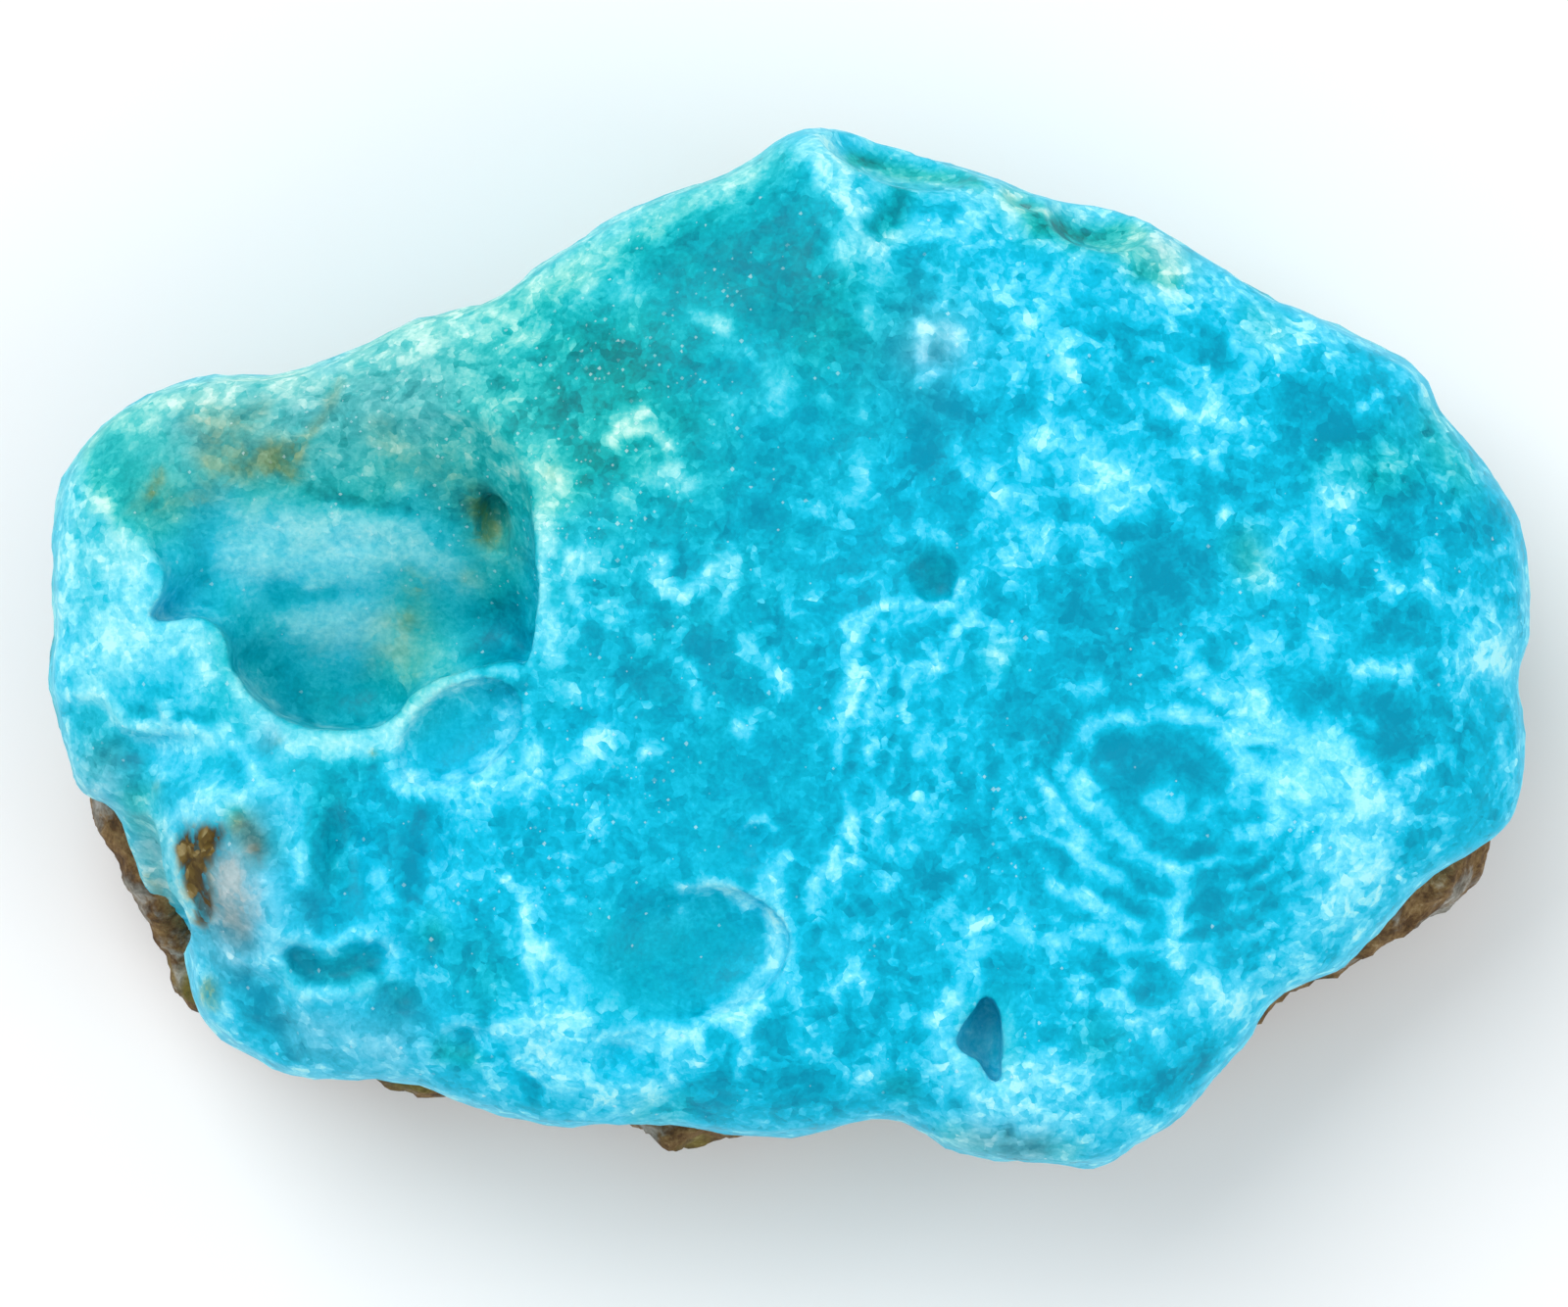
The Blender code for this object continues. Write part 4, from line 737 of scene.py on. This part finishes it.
def stone_form(points):
    """The slab's points moved to the stone's crowned face, bulging uneven sides and hollowed back."""
    x, y, z = points.T
    waist = WAIST_HEIGHT + WAIST_WANDER * bumps(points * (1, 1, 0), 22.0, 8)
    low = np.clip((waist - z) / (waist - BACK_HEIGHT), 0.0, 1.0)
    high = np.clip((z - waist) / (FACE_HEIGHT - waist), 0.0, 1.0)
    side = 1.0 - BACK_INSET * low ** 2 - FACE_INSET * high ** 3
    side += UNEVENNESS * low * bumps(points, 9.0, 4)
    side += 0.3 * UNEVENNESS * high * bumps(points, 6.0, 9)
    lift = high * face_level(points) + low * back_level(points)
    return np.column_stack([x * side, y * side, z + lift])


def rock_form(points):
    """The rock's slab made lumpy, high where it shows past the stone and low where it rests."""
    x, y, z = points.T
    up = z / ROCK_HEIGHT
    top = sum(height * hump(points, centre, radii) for centre, radii, height in ROCK_CORNERS)
    rests = np.max([hump(points, spot, RESTING_RADII) for spot in RESTING_SPOTS], axis=0)
    underside = UNDERSIDE_LIFT - (UNDERSIDE_LIFT + UNDERSIDE_WEAR) * rests
    uneven = lumps(points, ROCK_LUMPS, 5)
    side = 1.0 + lumps(points, ROCK_EDGE_LUMPS, 7) / np.hypot(x, y)
    lift = up * (top - ROCK_SUNK + uneven) + (1.0 - up) * (underside + uneven * (1.0 - rests))
    return np.column_stack([x * side, y * side, z + lift])


def bowl_floor(x, y):
    """Height of the big hollow's floor, which runs down from the upper edge to its lower lip."""
    down = y - BOWL_LOWEST_POINT[1]
    across = x - BOWL_LOWEST_POINT[0]
    return BOWL_LOWEST_POINT[2] + BOWL_SLOPE * down + BOWL_CURVE * across * across


def lens_floor(x, y):
    """Height of the lens-shaped pit's floor, lower at its straight right wall."""
    return LENS_FLOOR + LENS_SLOPE * (LENS_RIM[3][0] - x)


def corner_floor(x, y):
    """Height of the ramp at the lower left corner, which falls towards the corner."""
    return CORNER_TOP[2] + CORNER_SLOPE[0] * (x - CORNER_TOP[0]) + CORNER_SLOPE[1] * (y - CORNER_TOP[1])


def put_in_scene(name, data):
    """An object with this data, in the scene."""
    obj = bpy.data.objects.new(name, data)
    bpy.context.scene.collection.objects.link(obj)
    return obj


def finished(name, work):
    """An object with the mesh that was worked out."""
    mesh = bpy.data.meshes.new(name)
    work.to_mesh(mesh)
    work.free()
    return put_in_scene(name, mesh)


def apply_modifiers(obj):
    """Replaces the object's mesh, or its curve, with what its modifiers make of it."""
    graph = bpy.context.evaluated_depsgraph_get()
    mesh = bpy.data.meshes.new_from_object(obj.evaluated_get(graph))
    work = bmesh.new()
    work.from_mesh(mesh)
    bmesh.ops.remove_doubles(work, verts=work.verts, dist=0.000001)
    bmesh.ops.recalc_face_normals(work, faces=work.faces)
    work.to_mesh(mesh)
    work.free()
    mesh.materials.clear()
    name = obj.name
    bpy.data.objects.remove(obj)
    return put_in_scene(name, mesh)


def remesh(obj, voxel, relaxed=0):
    """The object with an even mesh of this cell size, smoothed as many times as it is relaxed."""
    modifier = obj.modifiers.new("Remesh", "REMESH")
    modifier.mode = "VOXEL"
    modifier.voxel_size = voxel * MM
    modifier.use_smooth_shade = True
    if relaxed:
        relax(obj, relaxed)
    return apply_modifiers(obj)


def relax(obj, times, group=""):
    """Smooths the object, or no more than the group of its points."""
    modifier = obj.modifiers.new("Relax", "SMOOTH")
    modifier.factor = 0.5
    modifier.iterations = times
    modifier.vertex_group = group


def weigh(obj, name, share):
    """Gives the object a group in which each point has its share, in tenths."""
    group = obj.vertex_groups.new(name=name)
    tenths = np.round(np.clip(share, 0.0, 1.0) * 10)
    for tenth in range(11):
        group.add(np.flatnonzero(tenths == tenth).tolist(), tenth / 10, "REPLACE")


def slab(name, outline, low, high, radius):
    """A slab with a smooth outline between two heights, with edges rounded to the radius."""
    data = bpy.data.curves.new(name, "CURVE")
    data.dimensions = "2D"
    data.fill_mode = "BOTH"
    data.resolution_u = 5
    data.extrude = ((high - low) / 2 - radius) * MM
    data.bevel_depth = radius * MM
    data.bevel_resolution = 4
    data.offset = -radius * MM
    spline = data.splines.new("BEZIER")
    spline.bezier_points.add(len(outline) - 1)
    spline.use_cyclic_u = True
    for knot, (x, y) in zip(spline.bezier_points, outline):
        knot.co = (x * MM, y * MM, 0.0)
        knot.handle_left_type = "AUTO"
        knot.handle_right_type = "AUTO"
    solid = apply_modifiers(put_in_scene(name, data))
    solid.data.transform(Matrix.Translation((0.0, 0.0, (low + high) / 2 * MM)))
    return solid


def places(obj):
    """The mesh's points in millimetres."""
    points = np.empty(len(obj.data.vertices) * 3)
    obj.data.vertices.foreach_get("co", points)
    return points.reshape(-1, 3) / MM


def normals(obj):
    """The mesh's normals, one for each point."""
    values = np.empty(len(obj.data.vertices) * 3, dtype=np.float32)
    obj.data.vertex_normals.foreach_get("vector", values)
    return values.reshape(-1, 3).astype(float)


def move_to(obj, points):
    """Puts the mesh's points at these places in millimetres."""
    obj.data.vertices.foreach_set("co", (points * MM).ravel())
    obj.data.update()


def hollow(name, rim, floor, fillet, ragged_by):
    """A cutter with the rim for its outline, ragged walls and an underside that follows the floor."""
    above = FACE_HEIGHT + CUTTER_RISE
    cutter = remesh(slab(name, rim, 0.0, CUTTER_THICKNESS, CUTTER_EDGE), CUTTER_VOXEL)
    points = places(cutter)
    near_wall = np.clip(1.0 - edge_distance(points, rim) / (1.3 * fillet), 0.0, 1.0)
    level = floor(points[:, 0], points[:, 1]) + fillet * near_wall ** 2
    moved = wander(points * (1, 1, 0.5), WALL_WANDER, ragged_by, 31)
    moved[:, 2] = level + (above - level) * points[:, 2] / CUTTER_THICKNESS
    move_to(cutter, moved)
    return cutter


def scoop(name, centre, radii, turn, lean):
    """An ellipsoid cutter that leans into the face, so that one side of its cut is steep."""
    work = bmesh.new()
    bmesh.ops.create_uvsphere(work, u_segments=64, v_segments=40, radius=1.0)
    bmesh.ops.scale(work, verts=work.verts, vec=Vector(radii) * MM)
    cutter = finished(name, work)
    cutter.location = Vector(centre) * MM
    cutter.rotation_euler = (0.0, math.radians(lean), math.radians(turn))
    return cutter


def ground():
    """A block that takes away everything below the height 0."""
    width, depth = 200.0, 10.0
    work = bmesh.new()
    bmesh.ops.create_cube(work, size=1.0)
    bmesh.ops.scale(work, verts=work.verts, vec=Vector((width, width, depth)) * MM)
    bmesh.ops.translate(work, verts=work.verts, vec=Vector((0.0, 0.0, -depth / 2)) * MM)
    return finished("ground", work)


def cut(obj, cutters):
    """The object with the cutters taken away from it."""
    for cutter in cutters:
        modifier = obj.modifiers.new("Cut " + cutter.name, "BOOLEAN")
        modifier.operation = "DIFFERENCE"
        modifier.solver = "MANIFOLD"
        modifier.object = cutter
    obj = apply_modifiers(obj)
    for cutter in cutters:
        bpy.data.objects.remove(cutter)
    return obj


def thin_out(obj, keep, ratio):
    """The object with this share of its triangles, finest where keep is 1."""
    weigh(obj, "thin", 1.0 - keep)
    modifier = obj.modifiers.new("Decimate", "DECIMATE")
    modifier.ratio = ratio
    modifier.vertex_group = "thin"
    modifier.vertex_group_factor = 1.0
    modifier.use_collapse_triangulate = True
    return apply_modifiers(obj)


def fit_box(obj, node):
    """Stretches the object by a hair, so that it fills its solid's box and doesn't leave it."""
    low, high = (np.array(corner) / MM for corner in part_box(node))
    points = places(obj)
    least, most = points.min(axis=0), points.max(axis=0)
    move_to(obj, low + (points - least) * (high - low) / (most - least))


def face_share(points, facing):
    """1 on the face and in its hollows, 0 on the sides and the back."""
    inner = ramp(edge_distance(points, STONE_OUTLINE), 2.5, 4.0) * ramp(points[:, 2], 9.0, 12.0)
    return np.maximum(ramp(facing[:, 2], 0.0, 0.45), inner * ramp(facing[:, 2], -0.2, 0.1))


def make_stone():
    """The blue stone's mesh, even and fine, with its hollows cut in."""
    stone = remesh(slab("Blue_aragonite", STONE_OUTLINE, BACK_HEIGHT, FACE_HEIGHT, EDGE_RADIUS), SLAB_VOXEL)
    move_to(stone, stone_form(places(stone)))
    cutters = [
        hollow("bowl", BOWL_RIM, bowl_floor, BOWL_FILLET, 0.22),
        hollow("lens_pit", LENS_RIM, lens_floor, LENS_FILLET, 0.1),
        hollow("corner_step", CORNER_RIM, corner_floor, CORNER_FILLET, 0.2),
    ]
    cutters += [scoop(name, *shape) for name, shape in SCOOPS.items()]
    stone = remesh(cut(stone, cutters), STONE_VOXEL, relaxed=3)
    weigh(stone, "soft", drawn(places(stone), SOFT_RIMS))
    relax(stone, 120, "soft")
    return apply_modifiers(stone)


def roughen_stone(stone):
    """Gives the stone its fine relief: veins that stand out, a sugary skin and rough broken sides."""
    points, facing = places(stone), normals(stone)
    face = face_share(points, facing)
    veins = np.clip(drawn(ragged(points), veins_and_areas()[0]), -0.5, 0.5)
    hummocks = np.clip(drawn(points, HUMMOCKS), 0.0, 1.0)
    height = SKIN_HEIGHT * bumps(points, 2.4, 41) + GRAIN_HEIGHT * fractal(points, 0.9, 42, 3)
    height += VEIN_HEIGHT * veins
    height += hummocks * (HUMMOCK_HEIGHT * bumps(points, 1.7, 43) + HUMMOCK_VEIN_HEIGHT * veins)
    low = ramp(points[:, 2], 14.0, 7.0)
    lumpy, rough = (SIDE_RELIEF[i] + LOW_SIDE_RELIEF[i] * low for i in range(2))
    sides = lumpy * bumps(points, 3.4, 44) + rough * fractal(points, 1.6, 45, 4)
    height = face * height + (1.0 - face) * sides
    move_to(stone, points + facing * height[:, None])


def thin_stone(stone):
    """The stone with fewer triangles, most of them taken from its underside."""
    points, facing = places(stone), normals(stone)
    triangles = sum(len(face.vertices) - 2 for face in stone.data.polygons)
    face_fineness = 1.0 - UNDERSIDE_FINENESS - SIDE_FINENESS
    keep = UNDERSIDE_FINENESS + SIDE_FINENESS * ramp(facing[:, 2], -0.75, -0.35)
    keep += face_fineness * face_share(points, facing)
    return thin_out(stone, keep, min(1.0, STONE_TRIANGLES / triangles))


def make_rock(stone):
    """The host rock's mesh, rough all over, which fits round the back of the stone."""
    rock = remesh(slab("Host_rock", ROCK_OUTLINE, 0.0, ROCK_HEIGHT, EDGE_RADIUS), SLAB_VOXEL)
    move_to(rock, rock_form(places(rock)))
    rock = remesh(rock, ROCK_VOXEL)
    points, facing = places(rock), normals(rock)
    height = ROCK_RELIEF[0] * bumps(points, 3.0, 51) + ROCK_RELIEF[1] * fractal(points, 1.5, 52, 4)
    move_to(rock, points + facing * height[:, None])
    core = put_in_scene("core", stone.data.copy())
    move_to(core, places(core) - normals(core) * ROCK_BITE)
    return cut(rock, [core, ground()])


def paint(obj, **layers):
    """Stores each layer of values on the mesh, one value for each point."""
    for name, values in layers.items():
        layer = obj.data.attributes.new(name, "FLOAT", "POINT")
        layer.data.foreach_set("value", values.astype(np.float32))


def paint_stone(stone):
    """Lays the markings on the stone, among them painted light and shade in its hollows, on its rim and as
    glints, and plausible markings on its sides and back.
    """
    points, facing = places(stone), normals(stone)
    z = points[:, 2]
    face = face_share(points, facing)
    moved = ragged(points)
    narrow, broad = veins_and_areas()
    broken = NARROW_SHARE * np.clip(1.0 + 0.6 * fractal(points, 1.0, 8, 4), 0.3, 1.6)
    edge = edge_distance(points, STONE_OUTLINE)
    # The face's pale rim, partly its own colour and partly painted light that brightens the shaded edge
    rim = sum(strength * np.exp(-(edge / width) ** 2) for strength, width in PALE_RIM_AND_PAINTED_LIGHT)
    marks = BASE_PALENESS + BROAD_SHARE * drawn(moved, broad) + broken * drawn(moved, narrow) + rim
    marks += STREAK_SHARE * streaks(points)
    marks = MIDDLE_PALENESS + PALENESS_REACH * np.tanh((marks - MIDDLE_PALENESS) / PALENESS_REACH)
    upper = ramp(z, 12.0, 18.0)
    bands = np.sin(2 * math.pi * z / BAND_SPACING + 1.8 * bumps(points, 7.0, 64))
    side_cloud = SIDE_PALENESS + SIDE_CLOUDS * fractal(points * (1, 1, 1.6), 6.0, 61, 4)
    side_cloud += SIDE_BANDS * bands + HIGH_PALENESS * upper
    near_rock = np.clip(ramp(z, 9.0, 2.0) + 0.25 * fractal(points, 3.0, 63, 3), 0.0, 1.0)
    side_green = np.clip(0.45 + 0.5 * fractal(points, 9.0, 62, 3), 0.0, 1.0)
    green = mixed(np.maximum(face, upper), side_green, drawn(moved, GREENNESS))
    paint(
        stone,
        paleness=mixed(np.maximum(face, 0.8 * upper), side_cloud, marks),
        greenness=np.clip(green, 0.0, 1.0),
        stain=np.clip(mixed(face, 0.5 * near_rock, drawn(moved, STAIN)), 0.0, 1.0),
        rocky=np.clip(face * drawn(moved, ROCKY), 0.0, 1.0),
        bloom=np.clip(face * drawn(moved, BLOOM), 0.0, 1.0),
        calm=np.clip(face * drawn(points, CALM), 0.0, 0.85),
        glitter=np.clip(face * drawn(points, PAINTED_GLINT_MARKS), 0.0, 1.0),
    )


def linear(red, green, blue):
    """A colour as it is seen on a screen, from 0 to 255, as the linear values that shaders take."""
    parts = [channel / 255 for channel in (red, green, blue)]
    parts = [part / 12.92 if part <= 0.04045 else ((part + 0.055) / 1.055) ** 2.4 for part in parts]
    return (*parts, 1.0)


class Shader:
    """A material's node tree, with short ways to add nodes and join them."""

    def __init__(self, name):
        self.material = bpy.data.materials.new(name)
        self.material.use_nodes = True
        self.tree = self.material.node_tree
        self.surface = self.tree.nodes["Principled BSDF"]

    def add(self, kind, inputs, **settings):
        """A node with its settings, whose inputs are values or other nodes' outputs."""
        node = self.tree.nodes.new("ShaderNode" + kind)
        for name, value in settings.items():
            setattr(node, name, value)
        self.fill(node, inputs)
        return node

    def fill(self, node, inputs):
        """Sets the node's inputs, or joins them to other nodes' outputs."""
        for name, value in inputs.items():
            if isinstance(value, bpy.types.NodeSocket):
                self.tree.links.new(value, node.inputs[name])
            else:
                node.inputs[name].default_value = value

    def math(self, operation, first, second, clamp=False):
        """The result of one operation on two values, kept between 0 and 1 if it is clamped."""
        return self.add("Math", {0: first, 1: second}, operation=operation, use_clamp=clamp).outputs[0]

    def plus(self, first, second, clamp=False):
        """Both values added."""
        return self.math("ADD", first, second, clamp)

    def times(self, first, second, clamp=False):
        """Both values multiplied."""
        return self.math("MULTIPLY", first, second, clamp)

    def scaled(self, value, factor, offset=0.0):
        """The value times the factor, plus the offset."""
        node = self.add("Math", {0: value, 1: factor, 2: offset}, operation="MULTIPLY_ADD")
        return node.outputs[0]

    def layer(self, name):
        """A layer that is stored on the mesh."""
        return self.add("Attribute", {}, attribute_name=name).outputs["Fac"]

    def cloud(self, where, size, detail=4.0, roughness=0.55, distortion=0.0):
        """Cloudy noise about 0, whose largest lumps are about as wide as size, in millimetres."""
        node = self.add("TexNoise", {"Vector": where, "Scale": 1 / (size * MM), "Detail": detail,
                                     "Roughness": roughness, "Distortion": distortion})
        return self.scaled(node.outputs["Fac"], 1.0, -0.5)

    def warped(self, where, size, amount):
        """The places, moved about by noise of this size and amount in millimetres."""
        node = self.add("TexNoise", {"Vector": where, "Scale": 1 / (size * MM), "Detail": 2.0})
        centred = self.add("VectorMath", {0: node.outputs["Color"], 1: (0.5, 0.5, 0.5)},
                           operation="SUBTRACT")
        moved = self.add("VectorMath", {0: centred.outputs[0], "Scale": 2 * amount * MM}, operation="SCALE")
        return self.add("VectorMath", {0: where, 1: moved.outputs[0]}, operation="ADD").outputs[0]

    def between_places(self, share, first, second):
        """A place on the way from the first to the second."""
        node = self.add("Mix", {}, data_type="VECTOR")
        self.fill(node, {0: share, 4: first, 5: second})
        return node.outputs[1]

    def ramp(self, value, stops):
        """The colours of the stops, each a place from 0 to 1 and a screen colour."""
        node = self.add("ValToRGB", {"Fac": value})
        ramp = node.color_ramp
        while len(ramp.elements) < len(stops):
            ramp.elements.new(0.5)
        for element, (place, colour) in zip(ramp.elements, stops):
            element.position = place
            element.color = linear(*colour)
        return node.outputs["Color"]

    def blend(self, share, first, second):
        """The first colour where the share is 0, the second where it is 1."""
        node = self.add("Mix", {}, data_type="RGBA")
        self.fill(node, {0: share, 6: first, 7: second})
        return node.outputs[2]

    def between(self, value, low, high, first=0.0, second=1.0):
        """The value's way from low to high, as a smooth step from first to second."""
        node = self.add("MapRange", {"Value": value, "From Min": low, "From Max": high, "To Min": first,
                                     "To Max": second}, interpolation_type="SMOOTHSTEP")
        return node.outputs["Result"]


# Colours by paleness of the plain and the green stone, of stains, bloom and the rock in the lump
BLUES = [(0.0, (0, 144, 176)), (0.15, (0, 156, 188)), (0.3, (0, 171, 203)), (0.5, (8, 191, 227)),
         (0.7, (76, 209, 242)), (0.85, (122, 228, 251)), (1.0, (168, 243, 252))]
GREENS = [(0.0, (0, 122, 124)), (0.15, (0, 146, 148)), (0.35, (6, 174, 176)), (0.5, (52, 192, 192)),
          (0.65, (100, 206, 202)), (0.8, (144, 222, 214)), (1.0, (200, 242, 232))]
STAINS = [(0.0, (32, 60, 20)), (0.3, (86, 120, 62)), (0.6, (128, 168, 118)), (1.0, (190, 216, 182))]
BLOOMED = [(0.0, (86, 132, 138)), (0.35, (136, 166, 172)), (0.7, (184, 204, 208)), (1.0, (224, 234, 236))]
EARTH = [(0.0, (28, 20, 4)), (0.4, (66, 50, 16)), (0.7, (104, 86, 40)), (1.0, (146, 132, 90))]
# Colours by tone of the host rock and the floor
BROWNS = [(0.0, (44, 30, 12)), (0.3, (92, 66, 34)), (0.6, (132, 106, 66)), (1.0, (184, 168, 134))]
GREYS = [(0.0, (84, 80, 70)), (0.4, (140, 138, 128)), (1.0, (204, 204, 200))]
OLIVES = [(0.0, (62, 54, 16)), (0.5, (118, 106, 48)), (1.0, (170, 164, 112))]
FLOOR_TONES = [(0.0, (246, 248, 249)), (1.0, (248, 250, 251))]
# The near-white colour of the glints painted on the stone's sparkling specks
PAINTED_GLINT_COLOUR = (226, 248, 250)
# Widths of the stone's clouds, mottling, grain, crystals, pale patches and the specks painted as glints
CLOUD_WIDTH = 2.6
MOTTLING_WIDTH = 0.95
GRAIN_WIDTH = 0.28
CRYSTAL_WIDTH = 0.4
PATCH_WIDTH = 1.4
SPECK_WIDTH = 0.24
# How strongly clouds, mottling, grain, pale patches and the painted glint specks show in its colour
CLOUD_SHARE = 0.75
MOTTLING_SHARE = 1.2
GRAIN_SHARE = 0.42
PATCH_SHARE = 0.18
PAINTED_GLINT_STRENGTH = 0.42
# Depths of the finest relief of the stone and the rock, in millimetres
STONE_BUMP = 0.45
ROCK_BUMP = 0.6


def stone_material():
    """Waxy blue aragonite: pale clouds in turquoise, with green parts, stains and fine sparkles painted in
    as white glint specks.
    """
    make = Shader("Aragonite")
    where = make.add("TexCoord", {}).outputs["Object"]
    soft = make.warped(where, 2.2, 0.7)
    crystals = make.add("TexVoronoi", {"Vector": soft, "Scale": 1 / (CRYSTAL_WIDTH * MM)})
    speckled = make.between_places(0.6, soft, crystals.outputs["Position"])
    broad = make.cloud(speckled, CLOUD_WIDTH, 3.5, 0.55, 0.5)
    middle = make.cloud(speckled, MOTTLING_WIDTH, 3.0, 0.52, 0.6)
    grain = make.cloud(where, GRAIN_WIDTH, 3.0, 0.6)
    busy = make.scaled(make.layer("calm"), -1.0, 1.0)
    clouds = make.plus(make.scaled(broad, CLOUD_SHARE), make.scaled(middle, MOTTLING_SHARE))
    clouds = make.times(clouds, busy)
    patches = make.between(make.cloud(speckled, PATCH_WIDTH, 6.0, 0.62), 0.02, 0.11, 0.0, PATCH_SHARE)
    clouds = make.plus(clouds, make.times(patches, busy))
    pale = make.plus(make.scaled(make.layer("paleness"), 1.0, -0.06), clouds)
    pale = make.plus(pale, make.scaled(grain, GRAIN_SHARE), clamp=True)
    green = make.plus(make.layer("greenness"), make.times(broad, 0.5), clamp=True)
    green = make.times(green, make.between(make.layer("greenness"), 0.0, 0.15))
    colour = make.blend(green, make.ramp(pale, BLUES), make.ramp(pale, GREENS))

    stain = make.times(make.layer("stain"), make.scaled(middle, 2.4, 1.0), clamp=True)
    colour = make.blend(make.between(stain, 0.0, 1.0), colour, make.ramp(pale, STAINS))
    bloom = make.times(make.layer("bloom"), make.scaled(middle, 1.6, 1.0), clamp=True)
    colour = make.blend(bloom, colour, make.ramp(pale, BLOOMED))
    earthy = make.times(make.layer("rocky"), make.scaled(middle, 2.4, 1.0))
    earth = make.ramp(make.scaled(middle, 2.6, 0.42), EARTH)
    colour = make.blend(make.between(earthy, 0.05, 1.0), colour, earth)

    # Painted glints: a few small cells, more where the stone sparkles, turn near-white in the colour, and
    # are smoother and raised a hair
    cells = make.add("TexVoronoi", {"Vector": where, "Scale": 1 / (SPECK_WIDTH * MM)}, distance="MANHATTAN")
    chance, size, light = make.add("SeparateColor", {0: cells.outputs["Color"]}).outputs
    chosen = make.math("GREATER_THAN", chance, make.scaled(make.layer("glitter"), -0.16, 0.99))
    inside = make.math("GREATER_THAN", make.scaled(size, 0.6, 0.08), cells.outputs["Distance"])
    speck = make.times(make.times(chosen, inside), make.scaled(light, 0.8, 0.1))
    colour = make.blend(make.times(speck, PAINTED_GLINT_STRENGTH), colour, linear(*PAINTED_GLINT_COLOUR))

    height = make.plus(make.scaled(middle, 0.08), make.scaled(grain, 0.03))
    height = make.plus(height, make.scaled(speck, 0.02))
    bump = make.add("Bump", {"Height": height, "Distance": STONE_BUMP * MM, "Strength": 1.0})
    rough = make.plus(make.scaled(middle, 0.5, 0.42), make.scaled(grain, 0.3))
    make.fill(make.surface, {
        "Base Color": colour, "Roughness": make.math("SUBTRACT", rough, make.scaled(speck, 0.2)),
        "Normal": bump.outputs[0], "Specular IOR Level": 0.06, "IOR": 1.53,
        "Subsurface Weight": 0.12, "Subsurface Radius": (0.3, 0.9, 1.0), "Subsurface Scale": 0.8 * MM,
    })
    return make.material


def rock_material():
    """Earthy brown host rock with grey and clay-coloured patches."""
    make = Shader("Host_rock")
    where = make.add("TexCoord", {}).outputs["Object"]
    soft = make.warped(where, 2.5, 0.9)
    broad = make.cloud(soft, 4.0, 5.0, 0.65)
    middle = make.cloud(soft, 1.1, 6.0, 0.7)
    grain = make.cloud(where, 0.3, 3.0, 0.7)
    tone = make.plus(make.scaled(middle, 1.7, 0.42), make.scaled(grain, 0.7), clamp=True)
    colour = make.blend(make.between(broad, 0.0, 0.14), make.ramp(tone, BROWNS), make.ramp(tone, GREYS))
    clay = make.between(make.cloud(soft, 6.5, 3.0), 0.04, 0.16)
    colour = make.blend(clay, colour, make.ramp(tone, OLIVES))
    height = make.plus(make.scaled(middle, 0.3), make.scaled(grain, 0.12))
    bump = make.add("Bump", {"Height": height, "Distance": ROCK_BUMP * MM, "Strength": 1.0})
    make.fill(make.surface, {
        "Base Color": colour, "Roughness": make.scaled(middle, 0.4, 0.82), "Normal": bump.outputs[0],
        "Specular IOR Level": 0.3,
    })
    return make.material


def floor_material():
    """A plain pale floor with a trace of tone in it."""
    make = Shader("Floor")
    where = make.add("TexCoord", {}).outputs["Object"]
    tone = make.cloud(where, 60.0, 2.0)
    make.fill(make.surface, {
        "Base Color": make.ramp(make.scaled(tone, 1.0, 0.5), FLOOR_TONES),
        "Roughness": 0.9, "Specular IOR Level": 0.2,
    })
    return make.material


# The floor's half width, the lights and the camera, all in metres. Both lights aim at the stone.
FLOOR_REACH = 1.5
LIGHT_SIZE = 0.5
LIGHT_AIM = (0, 0, 0.01)
LIGHTS = {"Key": ((-0.27, 0.35, 0.68), 3.4), "Fill": ((0.5, -0.3, 0.5), 1.2)}
SKY_COLOUR = (0.998, 0.998, 1.0, 1)
SKY_STRENGTH = 0.66
CAMERA_PLACE = (-0.000185, -0.00034, 0.400)
CAMERA_LENS = 164
SENSOR_WIDTH = 36


def softbox(name, place, power):
    """A square soft light at this place, in watts."""
    data = bpy.data.lights.new(name, "AREA")
    data.size = LIGHT_SIZE
    data.energy = power
    lamp = put_in_scene(name, data)
    lamp.location = place
    lamp.rotation_euler = (Vector(LIGHT_AIM) - Vector(place)).to_track_quat("-Z", "Y").to_euler()


stone = make_stone()
roughen_stone(stone)
stone = thin_stone(stone)
fit_box(stone, "blue_aragonite")
paint_stone(stone)
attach(stone, "root")
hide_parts("blue_aragonite")
rock = make_rock(stone)
fit_box(rock, "host_rock")
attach(rock, "root")
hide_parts("host_rock")

plane = bmesh.new()
bmesh.ops.create_grid(plane, x_segments=1, y_segments=1, size=FLOOR_REACH)
floor = finished("Floor", plane)
for obj, material in ((stone, stone_material()), (rock, rock_material()), (floor, floor_material())):
    obj.data.materials.append(material)
for obj in (stone, rock):
    obj.data.shade_smooth()

for name, (place, power) in LIGHTS.items():
    softbox(name, place, power)
world = bpy.data.worlds.new("World")
world.use_nodes = True
sky = world.node_tree.nodes["Background"].inputs
sky["Color"].default_value = SKY_COLOUR
sky["Strength"].default_value = SKY_STRENGTH
bpy.context.scene.world = world
bpy.context.scene.view_settings.view_transform = "Standard"

camera = put_in_scene("Camera", bpy.data.cameras.new("Camera"))
camera.data.lens = CAMERA_LENS
camera.data.sensor_width = SENSOR_WIDTH
camera.data.clip_start = 0.01
camera.location = CAMERA_PLACE
bpy.context.scene.camera = camera
